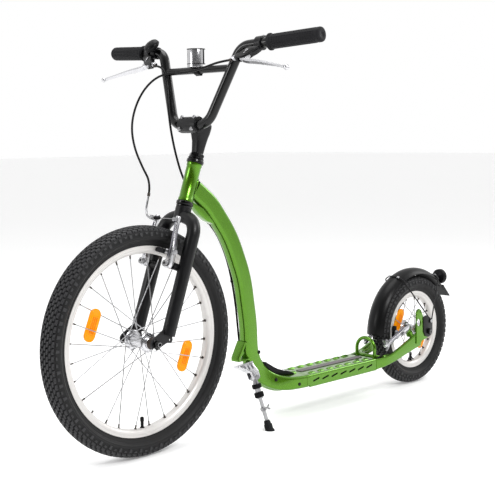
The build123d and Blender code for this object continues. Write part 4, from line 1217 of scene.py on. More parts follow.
def noodle_parts(route, radii, wire, tip_y):
    """The bent pipe, its holder, the bellows and the bare wire between the arms' tips."""
    x, height = wire
    line = crossways(x, 0, height)
    pipe = Shape()
    pipe.tube(spaced(arced(route, radii, 12), 6), 2.5, 18)
    pipe.rod(Vector(route[0]) + Vector((0, 3, 0)), Vector(route[0]) + Vector((0, -7, 0)), 3.4, sides=20,
             edge=0.5)
    pipe.rod((x, -30, height), (x, tip_y + 3, height), 0.9, sides=10)
    pipe.slab([(-6, -5), (4.5, -5), (4.5, 5), (-6, 5)], -39, -31.5, line, 0.9)
    boot = Shape()
    profile = [(1.0, -27)]
    for index in range(6):
        low, radius = 3.1 * index - 26, 4.3 - 0.22 * index
        profile += [(2.6, low), (radius, low + 1.2), (radius, low + 1.9), (2.6, low + 3.0)]
    boot.lathe(profile + [(2.2, -6.4), (1.0, -6)], line, 24, closed=True)
    return pipe, boot


def make_brake(end, at, tip, pad, wire, route, radii, near, far):
    """Both arms of one rim brake. The cable's pipe is on the far arm."""
    for side, body in ((1, near), (-1, far)):
        place = at @ (Matrix.Identity(4) if side > 0 else MIRROR_Y)
        arm_body(tip).moved(place).piece(
            body + "_forging", "alloy", body, "alloy", [body.replace("_arm", "_brake_arm")])
        arm_panel(tip).moved(place).piece(body + "_grey_panel", "cast_alloy", body, "alloy")
        rubber, bolts = pad_parts(*pad)
        rubber.moved(place).piece(body + "_brake_pad", "soft_rubber", body, "alloy")
        if side > 0:
            anchor = axes((STUD_X, 35, wire[1]), (1, 0, 0), (0, 0, 1))
            bolts.slab(circle(5.2, 6), 4.4, wire[0] - STUD_X - 1.6, anchor, 0.5)
            bolts.lathe([(1, 4), (5.8, 4), (5.8, 5.4), (1, 5.4)], anchor, 24, closed=True)
        bolts.moved(place).piece(body + "_bolts_and_spring", "steel", body, "alloy")
    pipe, boot = noodle_parts(route, radii, wire, 44 if end == "front" else 42)
    pipe.moved(at).piece(end + "_cable_pipe", "steel", far, "alloy")
    boot.moved(at).piece(end + "_cable_bellows", "soft_rubber", far, "alloy")
    heads = Shape()
    head = [(4.2, 46.8), (7.0, 46.8), (7.4, 47.6), (7.4, 50.2), (6.4, 51.4), (3.2, 51.4), (3.0, 49.4),
            (0.01, 49.4)]
    for side in SIDES:
        heads.lathe(head, at @ axes((0, side * STUD_Y, 0), (1, 0, 0), (0, 0, 1)), 32, caps=False)
    heads.piece(end + "_pivot_bolt_heads", "steel", "steering" if end == "front" else "frame", "steel")


def make_brakes():
    """The front and rear rim brakes."""
    x, w = 53, 98.0
    route = [(x, -30, w), (x, -52, w), (x + 4, -58, w + 20), (x + 6, -58, w + 46)]
    make_brake("front", FRONT_BRAKE, 108, (27.8, 50, 3), (x, w), route, [12, 20], "front_left_arm",
               "front_right_arm")
    x, w = 49.5, 92.0
    route = [(x, -30, w), (x, -50, w), (x - 3.5, -56, w + 16), (x - 10.6, -53, w + 26.5)]
    make_brake("rear", REAR_BRAKE, 100, (32, 34, 27.5), (x, w), route, [7, 11], "rear_right_arm",
               "rear_left_arm")


# ---- cables, along the same routes as their solids --------------------------------------------------
CABLE_RADIUS = 2.5
FRONT_CABLE = [
    (277.5, 128.7, 857), (283.6, 97, 854.5), (288, 62, 846), (289, 22, 838), (288, -22, 836), (293, -66, 837),
    (301, -102, 826), (316, -126, 798), (335, -133, 758), (352, -125, 715), (358, -108, 670), (358, -82, 628),
    (353.8, -58, 591.5), (361.7, -58, 563),
]
REAR_CABLE_BAR = [
    (277.5, -128.7, 857), (283.3, -103, 855.5), (288, -80, 843), (293, -66, 812), (299, -57, 775),
    (303, -50, 735), (300, -44, 690), (293, -38, 645), (284, -30, 603), (270, -23, 568),
]
REAR_CABLE_FRAME = [
    (270, -23, 568), (262.4, -19.2, 549), (242, -17, 523), (218, -17, 497), (188, -17, 463), (162, -17, 411),
    (145, -17, 353), (134, -17, 295), (128, -17.2, 240), (122, -17.4, 190), (104, -17.8, 146), (72, -19, 112),
    (34, -21, 90), (-12, -19, 82), (-66, -10, 83), (-126, 6, 84), (-186, 17, 85), (-244, 28, 87),
    (-288, 38, 90), (-317, 40.5, 95), (-338, 42, 104.5), (-350, 50.3, 110.1), (-355.7, 52.8, 119.4),
]


def settled_mesh(holder):
    """The mesh that an object comes to, with its curve and modifiers worked out."""
    bpy.context.view_layer.update()
    return bpy.data.meshes.new_from_object(holder.evaluated_get(bpy.context.evaluated_depsgraph_get()))


def cable_piece(name, route, node):
    """A smooth housing along a route between two points, from one body to another; it rides on neither body.
    """
    curve = bpy.data.curves.new(name, "CURVE")
    curve.dimensions = "3D"
    curve.resolution_u = 10
    curve.bevel_depth = CABLE_RADIUS / METRE
    curve.bevel_resolution = 5
    curve.use_fill_caps = True
    spline = curve.splines.new("NURBS")
    spline.points.add(len(route) - 1)
    for knot, point in zip(spline.points, route):
        knot.co = (*(Vector(point) / METRE), 1)
    spline.order_u = 3
    spline.use_endpoint_u = True
    holder = placed(name + "_line", curve)
    mesh = settled_mesh(holder)
    bpy.data.objects.remove(holder)
    mesh.name = name
    mesh.shade_smooth()
    mesh.materials.clear()
    mesh.materials.append(look("cable_black"))
    made = placed(name, mesh)
    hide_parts(node)
    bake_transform(made)


def ferrule(name, point, towards, body):
    """A pressed metal cap where a housing meets its stop."""
    shape = Shape()
    at = axes(point, Vector(towards) - Vector(point), (1, 0, 0))
    shape.lathe([(2.55, 0), (3.2, 0), (3.4, 0.6), (3.4, 6.4), (3.1, 7.0), (2.55, 7.6)], at, 20, closed=True)
    shape.piece(name, "dark_steel", body, "steel")


def make_cables():
    """The front brake's housing, and the rear brake's two runs, with their ferrules and guides."""
    cable_piece("front_cable_housing", FRONT_CABLE, "front_brake_cable")
    cable_piece("rear_cable_upper_housing", REAR_CABLE_BAR, "rear_cable_bar_run")
    cable_piece("rear_cable_lower_housing", REAR_CABLE_FRAME, "rear_cable_frame_run")
    ferrule("front_cable_ferrule", FRONT_CABLE[-1], FRONT_CABLE[-2], "front_right_arm")
    ferrule("front_lever_ferrule", FRONT_CABLE[0], FRONT_CABLE[1], "steering")
    ferrule("rear_lever_ferrule", REAR_CABLE_BAR[0], REAR_CABLE_BAR[1], "steering")
    clips = Shape()
    route = [Vector(point) for point in REAR_CABLE_FRAME]
    for index in (3, 6, 9, 12):
        at = axes(route[index], route[index + 1] - route[index - 1], (0, 1, 0))
        clips.lathe([(2.6, -3), (3.8, -3), (4.1, -2.4), (4.1, 2.4), (3.8, 3), (2.6, 3)], at, 20, closed=True)
    clips.piece("cable_guides", "black_plastic", "frame", "cable_black")


# ---- frame --------------------------------------------------------------------------------------
TUBE_LINE = [(279, 577), (231, 541), (170, 462), (128, 362), (110, 250), (105, 92), (-45, 88)]
TUBE_BENDS = [150, 300, 300, 380, 114]
TUBE_DEPTH = 44.0
TUBE_WIDTH = 28.0
TUBE_CORNER = 9.5
WELD_RADIUS = 16.9
NOSE_TOP = 150.0
DECK_TOP = 104.0
DECK_LOW = 73.0
DECK_HALF = 50.0
DECK_FRONT = -54.0
DECK_REAR = -318.0
SLOT_ROW = 245.0
SLOT_LEAN = 12
SIDE = axes((0, 0, 0), (0, -1, 0), (1, 0, 0))


def side_slab(shape, outline, low, high, edge):
    """A side outline of (x, z) points with a thickness along y."""
    shape.slab(outline, -high, -low, SIDE, edge)


def cut(name, solid, cutter):
    """A solid with a cutter's holes through it, as a new shape."""
    found = []
    for part in (solid, cutter):
        bmesh.ops.recalc_face_normals(part.mesh, faces=part.mesh.faces)
        data = bpy.data.meshes.new(name)
        part.mesh.to_mesh(data)
        part.mesh.free()
        found.append(placed(name, data))
    holes = found[0].modifiers.new("Holes", "BOOLEAN")
    holes.object = found[1]
    holes.solver = "EXACT"
    cleaned = settled_mesh(found[0])
    if len(cleaned.polygons) < 8:
        raise RuntimeError(name + " was cut away")
    shape = Shape()
    shape.mesh.from_mesh(cleaned)
    for holder in found:
        bpy.data.objects.remove(holder)
    bpy.data.meshes.remove(cleaned)
    return shape


def tube_path():
    """The main tube's centre line."""
    return spaced(arced([(x, 0, z) for x, z in TUBE_LINE], TUBE_BENDS, 14), 12)


def eased(share):
    """A share from 0 to 1 that starts and ends gently."""
    return share * share * (3 - 2 * share)


def nose_line():
    """The line that the nose follows from the bend to the deck, with its share and width at each point."""
    line = [p for p in tube_path() if p.z < NOSE_TOP]
    line += [Vector((-45, 0, 88)), Vector((DECK_FRONT - 1, 0, 88.5))]
    line = spaced(sorted(line, key=lambda p: -p.x), 6)
    shares = [eased(index / (len(line) - 1)) for index in range(len(line))]
    narrow = TUBE_WIDTH - 0.6
    return line, shares, [narrow + (2 * DECK_HALF - narrow) * share ** 1.5 for share in shares]


def make_main_tube():
    """The bent main tube with its gusset, the head tube, the weld between them and the plugs."""
    tube = Shape()
    path = tube_path()
    tube.sweep(path, rounded(TUBE_DEPTH, TUBE_WIDTH, TUBE_CORNER, 6))
    gusset = [(256, 532), (289, 549), (290, 543), (270, 521), (246, 503), (226, 494), (218, 496)]
    side_slab(tube, gusset, -8.5, 8.5, 2.2)
    tube.piece("swept_main_tube", "green_paint", "frame", "green_paint", ["main_tube"], crease=40)
    head = Shape()
    head.lathe([(14.6, 0.2), (16.4, 0.2), (17.4, 1.2), (17.4, 7.4), (16.5, 8.6), (16.5, 82), (17.4, 83.2),
                (17.4, 89.2), (16.4, 90.2), (14.6, 90.2)], STEER, 64, closed=True)
    head.piece("reinforced_head_tube", "green_paint", "frame", "green_paint", ["head_tube"], crease=40)
    bead = Shape()
    bead.tube(head_joint(path), 2.0, 8, closed=True)
    bead.piece("head_weld_bead", "green_paint", "frame", "green_paint")
    plugs = Shape()
    line, _, wide = nose_line()
    for x, z in ((88, 178), (40, 104), (-20, 86)):
        near = min(range(len(line)), key=lambda i: (line[i] - Vector((x, 0, z))).length)
        half = TUBE_WIDTH / 2 if z > NOSE_TOP else wide[near] / 2
        for side in SIDES:
            at = axes((x, side * half, z), (0, side, 0), (1, 0, 0))
            plugs.lathe([(4.4, -3), (4.4, 0.7), (3.6, 1.4), (1.2, 1.6)], at, 20)
    plugs.piece("frame_plugs", "black_plastic", "frame", "black_plastic")


def head_joint(path):
    """Where the main tube's outline meets the head tube, as a ring of points."""
    into = STEER.inverted()
    ahead = (path[0] - path[1]).normalized()
    side = Vector((0, 1, 0)).cross(-ahead).normalized()
    line = into.to_3x3() @ ahead
    ring = []
    for x, y in rounded(TUBE_DEPTH + 0.6, TUBE_WIDTH + 0.6, TUBE_CORNER, 8):
        here = into @ (path[0] + side * x + Vector((0, y, 0)) - ahead * 30)
        a = line.x ** 2 + line.y ** 2
        b = here.x * line.x + here.y * line.y
        c = here.x ** 2 + here.y ** 2 - WELD_RADIUS ** 2
        reach = (-b - math.sqrt(max(0, b * b - a * c))) / a
        ring.append(STEER @ (here + line * reach))
    return ring


def channel(half, low, top, wall, soft):
    """A section of an upside-down channel with round shoulders, as (y, z) points."""
    turn = [math.radians(90 * i / 6) for i in range(7)]
    outer, inner = [[(half - soft + radius * math.sin(a), top - soft + radius * math.cos(a)) for a in turn]
                    for radius in (soft, soft - wall)]
    lip = [(half, low + 0.8), (half - 0.8, low), (half - wall + 0.5, low), (half - wall, low + 0.6)]
    loop = outer + lip + inner[::-1]
    return loop + [(-y, z) for y, z in reversed(loop)]


def louvre(deck, x, side):
    """One raised hood of the deck, open underneath, added to the deck."""
    hood = []
    for across, height in ((-3.2, 0.0), (-1.8, 2.6), (0.6, 4.2), (3.6, 3.6), (6.6, 1.4), (8.0, -0.4)):
        span = 12.5 - 0.35 * height
        row = []
        for share in (-1, -0.92, -0.7, -0.35, 0, 0.35, 0.7, 0.92, 1):
            lift = max(height * (1 - share ** 6), -0.4)
            row.append((x + span * share, side * (33 + across), DECK_TOP + lift))
        hood.append(deck.ring(row))
    deck.skin(hood, around=False, caps=False)
    inside = [deck.ring([(v.co.x, v.co.y - side * 0.5, v.co.z - 0.9) for v in row]) for row in hood]
    deck.skin(inside, around=False, caps=False)


def make_deck_plate():
    """The pressed deck with its louvres and slanted slots, and the dark rails inside it."""
    plate = Shape()
    section = channel(DECK_HALF, DECK_LOW, DECK_TOP, 2.5, 6)
    plate.skin([plate.ring([(x, y, z) for y, z in section])
                for x in (DECK_FRONT, DECK_FRONT - 1, DECK_REAR + 1, DECK_REAR)])
    holes = Shape()
    count = chosen().louvres
    middles = [DECK_FRONT - 24 - SLOT_ROW / count * index for index in range(count)]
    for x in middles:
        slot = Matrix.Translation((x, 0, 89)) @ Matrix.Rotation(math.radians(SLOT_LEAN), 4, "Y")
        holes.slab(rounded(25, 4.4, 2.1, 4), -60, 60, slot @ ABOUT_Y)
        for side in SIDES:
            holes.slab(rounded(20, 7, 3.2, 4), -6, 6, Matrix.Translation((x, side * 31, DECK_TOP)))
    deck = cut("deck", plate, holes)
    for x in middles:
        for side in SIDES:
            louvre(deck, x, side)
    deck.piece("louvred_deck", "green_paint", "frame", "green_paint", ["deck_plate"], crease=35)
    rails = Shape()
    middle_x = (DECK_FRONT + DECK_REAR) / 2
    for side in SIDES:
        rails.block((244, 1.6, 25), Matrix.Translation((middle_x, side * 45.4, 87.6)), 0.5)
        rails.block((244, 5.0, 1.6), Matrix.Translation((middle_x, side * 43.4, 75.6)), 0.5)
    rails.piece("deck_inner_rails", "satin_black", "frame", "satin_black")


def make_nose():
    """The pressed nose, which widens from the tube to the deck."""
    nose = Shape()
    line, shares, widths = nose_line()
    rings = []
    last = len(line) - 1
    for index, (point, share, width) in enumerate(zip(line, shares, widths)):
        along = line[min(index + 1, last)] - line[max(index - 1, 0)]
        up = Vector((0, 1, 0)).cross(along).normalized()
        centre = point + up * (0.5 * share)
        section = rounded(43.4 - 12.4 * share, width, 7.2, 5)
        rings.append(nose.ring([centre + up * x + Vector((0, y, 0)) for x, y in section]))
    nose.skin(rings)
    nose.piece("pressed_deck_nose", "green_paint", "frame", "green_paint", ["deck_nose"], crease=50)


def make_deck_trim():
    """The gritted strip, and the black cover at the foot of the tube with its rivets."""
    strip = Shape()
    strip.slab([(x - 188, y) for x, y in rounded(242, 20, 3, 4)], DECK_TOP + 0.1, DECK_TOP + 1.7, edge=0.4)
    strip.piece("gritted_strip", "grip_strip", "frame", "grip_grey", ["deck_grip_strip"])
    cover = Shape()
    outline = [(64, 150), (68, 143), (52, 129), (32, 116), (8, 109), (-14, 107), (-34, 104.3), (-36, 107),
               (-18, 114.5), (8, 119), (32, 129), (50, 141)]
    side_slab(cover, outline, -15.6, 15.6, 1.6)
    cover.piece("black_end_cover", "black_plastic", "frame", "black_plastic", ["deck_end_cover"])
    rivets = Shape()
    for x, z, lean in ((-20, 114, 18), (-4, 117, 10), (18, 123.2, 22), (38, 132.6, 32)):
        up = (-math.sin(math.radians(lean)), 0, math.cos(math.radians(lean)))
        for y in (-7.5, 7.5):
            rivets.lathe([(3.2, -1), (3.2, 0.4), (2.4, 1.3), (0.8, 1.7)], axes((x, y, z), up, (0, 1, 0)), 16)
    rivets.piece("deck_rivets", "steel", "frame", "steel")


# x, then the top and the bottom edge of the rear arms
ARM_EDGES = [
    (-318, 103, 74), (-334, 103, 76.4), (-352, 103.6, 79), (-372, 106.6, 82.6), (-391, 112, 86.2),
    (-416, 121, 92), (-440, 130, 98), (-474, 143.4, 105.8), (-506, 156, 113),
]


def dropout_plates():
    """Both dropouts, each with a teardrop and a small hole."""
    plate = Shape()
    outline = [(-482, 122), (-482, 206), (-486, 214), (-494, 217), (-502, 213), (-507, 203), (-512, 191),
               (-520, 184), (-536, 178), (-545, 170), (-548, 160), (-548, 144), (-543, 137), (-530, 132),
               (-508, 128), (-500, 119)]
    for low, high in ((55, 60), (-60, -55)):
        side_slab(plate, outline, low, high, 0.9)
    holes = Shape()
    teardrop = []
    for index in range(28):
        turn = 2 * math.pi * index / 28
        swell = max(0, math.cos(turn)) ** 2
        teardrop.append((-494 + (9 + 7 * swell) * math.cos(turn + 1.2),
                         176 + (8 + 6 * swell) * math.sin(turn + 1.2)))
    side_slab(holes, teardrop, -70, 70, 0)
    side_slab(holes, [(-498 + x, 208 + z) for x, z in circle(2.6, 16)], -70, 70, 0)
    return cut("dropout", plate, holes)


def make_rear_arms():
    """Both rear arms with their dropouts, brake bosses and yoke, and the hoop round the brake."""
    arms = Shape()
    for side in SIDES:
        rings = []
        for x, high, low in ARM_EDGES:
            section = rounded(10, high - low, 3, 4)
            aside = 52 - 6.4 * min(1, max(0, (x + 360) / 42))
            rings.append(arms.ring([(x, side * (aside + y), (high + low) / 2 + z) for y, z in section]))
        arms.skin(rings)
    arms.take(dropout_plates().mesh)
    for side in SIDES:
        at = REAR_BRAKE @ Matrix.Diagonal((1, side, 1, 1))
        for low, high, radius, y in ((-6, 24, 6, 46), (10, 30.6, 8, 40), (28, 50, 4, 40)):
            arms.rod(at @ Vector((low, y, 0)), at @ Vector((high, y, 0)), radius, sides=28, edge=0.7)
    yoke = arced([(-404, 50, 104.4), (-352, 47, 99), (-352, -47, 99), (-404, -50, 104.4)], [36, 36], 14)
    arms.tube(spaced(yoke, 10), 6, 18)
    arms.rod((-330, -48, 89), (-330, 48, 89), 8, sides=28)
    arms.piece("forked_rear_arms", "green_paint", "frame", "green_paint", ["rear_arms"], crease=40)
    beads = Shape()
    for side in SIDES:
        spot = axes(REAR_BRAKE @ Vector((12, side * 46, 0)), REAR_BRAKE.col[0].xyz, (0, 1, 0))
        beads.tube([spot @ Vector((x, y, 0)) for x, y in circle(7.0, 20)], 1.4, 8, closed=True)
    beads.piece("arm_weld_beads", "green_paint", "frame", "green_paint")
    tug = Shape()
    outline = [(-510, 190), (-517, 196), (-526, 196), (-547, 184), (-552, 172), (-552, 148), (-546, 138),
               (-534, 134), (-520, 138), (-512, 150)]
    for low, high in ((60.2, 62.4), (-62.4, -60.2)):
        side_slab(tug, outline, low, high, 0.7)
    tug.piece("axle_tab_plates", "satin_black", "frame", "satin_black")
    hoop = Shape()
    line = [(-335, 30, 92), (-335, 30, 152), (-335, -30, 152), (-335, -30, 92)]
    hoop.tube(spaced(arced(line, [29.5, 29.5], 16), 8), 4.8, 18)
    hoop.piece("brake_guard", "green_paint", "frame", "green_paint", ["brake_guard_hoop"])


STAY_EYE = (-543, 178)
STAY_Y = 63.5
REAR_REFLECTOR_SPOT = (-664, 0, 284)


def make_mudguard():
    """The mudguard's rolled edges, and its stays with their eyes and screws."""
    trim = Shape()
    for side in SIDES:
        turns = [math.radians(1.5 + 139 * index / 60) for index in range(61)]
        trim.tube([around(turn, 157, side * 27.4) + REAR_AXLE for turn in turns], 1.6, 10)
    trim.piece("mudguard_rolled_edges", "gloss_black", "frame", "gloss_black")
    wires, nuts = Shape(), Shape()
    for foot, angle in ((-541, 63.5), (-546, 123.4)):
        out = around(math.radians(angle), 1)
        over = [(158, 31.5), (162, 30.5), (168, 23), (172.6, 12), (174, 0)]
        half = [Vector((foot, STAY_Y, 181))]
        half += [REAR_AXLE + out * radius + Vector((0, y, 0)) for radius, y in over]
        line = half + [Vector((p.x, -p.y, p.z)) for p in reversed(half[:-1])]
        wires.tube(spaced([line[0]] + smooth_path(line[1:-1], 5) + [line[-1]], 12), 1.75, 10)
        for side in SIDES:
            at = axes(REAR_AXLE + out * 171.5 + Vector((0, side * 15, 0)), out, (0, 1, 0))
            nuts.lathe([(0.01, 0), (4.2, 0), (4.2, 1.4), (3.0, 2.6), (0.01, 2.9)], at, 18, caps=False)
    eye_x, eye_z = STAY_EYE
    for side in SIDES:
        wires.tube([(eye_x + x, side * STAY_Y, eye_z + z) for x, z in circle(4.4, 20)], 1.75, 10, closed=True)
        nuts.lathe([(0.01, 60.1), (5.6, 60.1), (5.6, 61.4), (4.6, 61.6), (4.6, 65.4), (3.8, 66.4),
                    (0.01, 66.4)],
                   axes((eye_x, 0, eye_z), (0, side, 0), (1, 0, 0)), 20, caps=False)
    wires.piece("wire_stays", "satin_black", "frame", "satin_black", ["mudguard_stays"])
    nuts.piece("stay_screws", "steel", "frame", "steel")


def make_rear_reflector():
    """The rear reflector's cup and its ringed lens."""
    at = axes(REAR_REFLECTOR_SPOT, (-1, 0, 0), (0, 1, 0))
    cup = Shape()
    cup.lathe([(0.01, 0), (15, 0), (19.6, 1.6), (21, 4), (21, 14.4), (20.2, 15.4), (18.9, 15.4), (18.9, 11),
               (0.01, 11)], at, 48, caps=False)
    cup.block((20, 11, 9), Matrix.Translation(REAR_REFLECTOR_SPOT) @ Matrix.Translation((6, 0, 0)), 1.5)
    cup.piece("rear_reflector_cup", "black_plastic", "frame", "black_plastic", ["rear_reflector_housing"])
    # the red lens has a faint painted glow: it is a reflector, no lamp
    glass = Shape()
    glass.lathe([(18.6, 10.8), (18.6, 15.6), (17.6, 17.0), (12, 18.2), (6, 18.8), (0.01, 19)], at, 48,
                caps=False)
    for index in range(3):
        ring = [at @ Vector((x, y, 18.6 - 0.42 * index)) for x, y in circle(5.5 + 4 * index, 36)]
        glass.tube(ring, 0.45, 6, closed=True)
    glass.piece("rear_reflector_lens", "red_lens", "frame", "red", ["rear_reflector"])


LEG_PIVOT = Vector((123.5, 31.5, 124.7))
LEG_UP = Vector((0.1115, -0.27, 0.9567)).normalized()
LEG = axes(LEG_PIVOT, LEG_UP, hinge("kickstand_fold").cross(LEG_UP))


def leg_rod(shape, start, end, radius, sides, edge):
    """A round or flat-sided bar between two points of the leg's frame."""
    shape.rod(LEG @ Vector(start), LEG @ Vector(end), radius, sides=sides, edge=edge)


def make_stand_bracket():
    """The strap, and the slotted housing with its bolts."""
    strap = Shape()
    side_slab(strap, [(110, 206), (134.5, 209), (155, 172), (155, 163.4), (102, 163.4), (102, 170)], -13, 13,
              1.2)
    hole = Shape()
    side_slab(hole, [(118, 200), (131, 203), (149.6, 170.4), (148, 167.2), (118, 167.2)], -40, 80, 0)
    cut("strap", strap, hole).piece(
        "stand_strap", "green_paint", "frame", "green_paint", ["kickstand_bracket"], crease=40)
    housing = Shape()
    rings = []
    for z, wide, deep, x, y in ((-3, 23, 24, 0, 0), (4, 24, 25, 0, 0), (14, 25, 24, 0.4, -0.2),
                                (22, 31, 25, 5.6, -3.2), (30, 38, 26, 10.4, -7), (34, 46, 27, 14, -9),
                                (38.6, 46, 27, 14, -9)):
        section = rounded(wide, deep, 5, 4)
        rings.append(housing.ring([LEG @ Vector((px + x, py + y, z)) for px, py in section]))
    housing.skin(rings)
    slots = Shape()
    for x in (2, 12, 22):
        slots.slab(rounded(4.6, 14, 2.2, 3), 60, -60, LEG @ crossways(x, 0, 28))
    slots.slab([(-30, -14), (30, -14), (30, 9), (-30, 9)], -6.5, 6.5, LEG @ ABOUT_Y)
    cut("housing", housing, slots).piece(
        "stand_housing", "alloy", "frame", "alloy", ["kickstand_housing"], crease=38)
    bolts = Shape()
    leg_rod(bolts, (0, -14.4, 0), (0, 14.4, 0), 3.4, 20, 0.4)
    for side in SIDES:
        leg_rod(bolts, (0, side * 12.2, 0), (0, side * 15.6, 0), 6.0, 6, 0.6)
    for x in (2, 27):
        leg_rod(bolts, (x, 3.6, 34), (x, 6.4, 34), 4.2, 18, 0.6)
    bolts.piece("stand_bolts", "steel", "frame", "steel")


def make_stand_leg():
    """The sprung leg, its ribbed collars, its wing screw and its foot, which is cut level with the ground."""
    leg = Shape()
    leg_rod(leg, (0, -6, 0), (0, 6, 0), 9, 32, 0.8)
    leg.lathe([(4.4, -2), (6.2, -4), (6.2, -12), (7.4, -13), (7.4, -51), (6.6, -52.4), (4.6, -52.6),
               (4.4, -53), (4.4, -118), (3.8, -119)], LEG, 32)
    leg.piece("stand_leg", "steel", "kickstand", "alloy", ["kickstand_leg"], crease=38)
    collars = Shape()
    for low, high in ((-27, -16), (-49, -36)):
        collar = [(7.5, low), (10.2, low), (10.8, low + 0.8), (10.8, high - 0.8), (10.2, high), (7.5, high)]
        collars.lathe(collar, LEG, 40, closed=True)
        collars.ribs(22, (1.2, 1.5, high - low - 2.4), LEG, 10.8, (low + high) / 2, 0.4)
    collars.piece("stand_collars", "black_plastic", "kickstand", "black_plastic", ["kickstand_fittings"],
                  crease=38)
    screw = Shape()
    screw.lathe([(4.5, -82), (6.4, -82), (7, -81.4), (7, -74.6), (6.4, -74), (4.5, -74)], LEG, 30,
                closed=True)
    leg_rod(screw, (-6, 0, -78), (-13, 0, -78), 2.2, 16, 0)
    for lean in SIDES:
        wing = [(-12, -1.2), (-12, 1.2), (-14, 3.4 + lean * 1.5), (-17, 6.2), (-19.6, 6.6), (-20, 4.4),
                (-17.4, 1.2)]
        screw.slab(wing, -1.1, 1.1, LEG @ axes((0, 0, -78), (0, lean, 0), (1, 0, 0)), 0.5)
    screw.piece("stand_wing_screw", "steel", "kickstand", "alloy")
    foot = Shape()
    foot.lathe([(4.6, -105.4), (6.6, -105.8), (7.4, -107.4), (8.6, -116), (9.0, -116.8), (10.0, -126),
                (12.6, -134.6), (13, -137), (13, -141), (12, -143), (4.4, -143)], LEG, 36)
    foot.ribs(12, (1.0, 1.6, 14), LEG, 9.4, -122, 0.3)
    ground = max(corners("kickstand_foot")[0].z, 0) + 0.02
    everything = foot.mesh.verts[:] + foot.mesh.edges[:] + foot.mesh.faces[:]
    level = bmesh.ops.bisect_plane(
        foot.mesh, geom=everything, plane_co=(0, 0, ground), plane_no=(0, 0, -1), clear_outer=True)
    rim = [item for item in level["geom_cut"] if isinstance(item, bmesh.types.BMEdge)]
    bmesh.ops.edgeloop_fill(foot.mesh, edges=rim)
    foot.piece("stand_foot", "soft_rubber", "kickstand", "soft_rubber", ["kickstand_foot"], crease=38)


# ---- solids that stay in view, and the stage ---------------------------------------------------------
CAD_FINISHES = {
    "fork": "satin_black", "handlebar": "black_paint", "rear_mudguard": "gloss_black", "front_axle": "steel",
    "rear_axle": "steel", "front_inner_tube": "soft_rubber", "rear_inner_tube": "soft_rubber",
    "front_hub_bearings": "dark_steel", "rear_hub_bearings": "dark_steel", "headset_bearings": "dark_steel",
}


def finish_solids():
    """A finish for every CAD solid that no piece stands for."""
    for name, node in frame["nodes"].items():
        if node.hide_render:
            continue
        material = look(CAD_FINISHES[name])
        if not node.material_slots:
            node.data.materials.append(material)
        for entry in node.material_slots:
            entry.link = "OBJECT"
            entry.material = material


CAMERA_PLACE = Vector((1945.2, 1835.5, 696.2))
CAMERA_TARGET = Vector((108.7, 0, 430.9))
CAMERA_ROLL = -0.71
SKY_STRENGTH = 1.0
SKY_DIM = 0.06
LIT_POINT = Vector((0, 0, 400))
LIGHTS = [
    ("key", (600, 2400, 2500), 1.0, 62),
    ("front", (2700, -900, 1300), 0.8, 16),
    ("back", (-2600, 700, 1700), 1.2, 20),
    ("top", (-200, -300, 3000), 1.6, 30),
]


def make_floor():
    """A plain pale floor."""
    mesh = bpy.data.meshes.new("pale_floor")
    made = bmesh.new()
    bmesh.ops.create_grid(made, x_segments=8, y_segments=8, size=30)
    made.to_mesh(mesh)
    made.free()
    mesh.materials.append(look("backdrop"))
    placed("pale_floor", mesh)


def make_sky():
    """A pale sky all round, dimmer on the side that the front faces."""
    world = bpy.data.worlds.new("pale_sky")
    world.use_nodes = True
    tree = world.node_tree
    background = tree.nodes["Background"]
    background.inputs["Color"].default_value = (1, 1, 1, 1)
    place = tree.nodes.new("ShaderNodeTexCoord")
    turned = tree.nodes.new("ShaderNodeVectorMath")
    turned.operation = "DOT_PRODUCT"
    turned.inputs[1].default_value = (0.707, 0.707, 0.0)
    shade = tree.nodes.new("ShaderNodeMapRange")
    shade.interpolation_type = "SMOOTHSTEP"
    for key, value in (("From Min", -0.1), ("From Max", 0.9), ("To Min", SKY_STRENGTH), ("To Max", SKY_DIM)):
        shade.inputs[key].default_value = value
    tree.links.new(place.outputs["Generated"], turned.inputs[0])
    tree.links.new(turned.outputs["Value"], shade.inputs["Value"])
    tree.links.new(shade.outputs["Result"], background.inputs["Strength"])
    bpy.context.scene.world = world
    bpy.context.scene.view_settings.view_transform = "Standard"


def make_lights():
    """Four soft lights that face the scooter's middle."""
    for name, place, size, power in LIGHTS:
        data = bpy.data.lights.new(name, "AREA")
        data.size = size
        data.energy = power
        lamp = placed(name, data)
        lamp.location = Vector(place) / METRE
        lamp.rotation_euler = (LIT_POINT - Vector(place)).to_track_quat("-Z", "Y").to_euler()


def make_camera():
    """The camera, rolled a little about its own line of sight."""
    data = bpy.data.cameras.new("camera")
    data.lens = chosen().lens_mm
    data.sensor_width = 36
    data.clip_end = 100
    camera = placed("camera", data)
    camera.location = CAMERA_PLACE / METRE
    turn = (CAMERA_TARGET - CAMERA_PLACE).to_track_quat("-Z", "Y")
    camera.rotation_euler = (turn @ Quaternion((0, 0, 1), math.radians(CAMERA_ROLL))).to_euler()
    bpy.context.scene.camera = camera


# ---- operators, panel and registration ---------------------------------------------------------------
class Builder:
    """What all the building operators share."""
    bl_options = {"REGISTER", "UNDO"}

    def execute(self, context):
        """Build the pieces, and fail loudly if there are none."""
        count = len(bpy.data.objects)
        self.build()
        if len(bpy.data.objects) == count:
            raise RuntimeError(self.bl_label + " made nothing")
        return {"FINISHED"}


class SCOOTER_OT_wheels(Builder, bpy.types.Operator):
    """Build both wheels, with their tyres, rims, spokes, hubs, valves and reflectors"""
    bl_idname = "scooter.wheels"
    bl_label = "Wheels"

    def build(self):
        make_wheel("front", FRONT_WHEEL, 253, 209, 25, 28, (138, 22, 72, 28))
        make_wheel("rear", REAR_WHEEL, 150, 107.5, 23.5, 20, (62, 28, 70, 26))


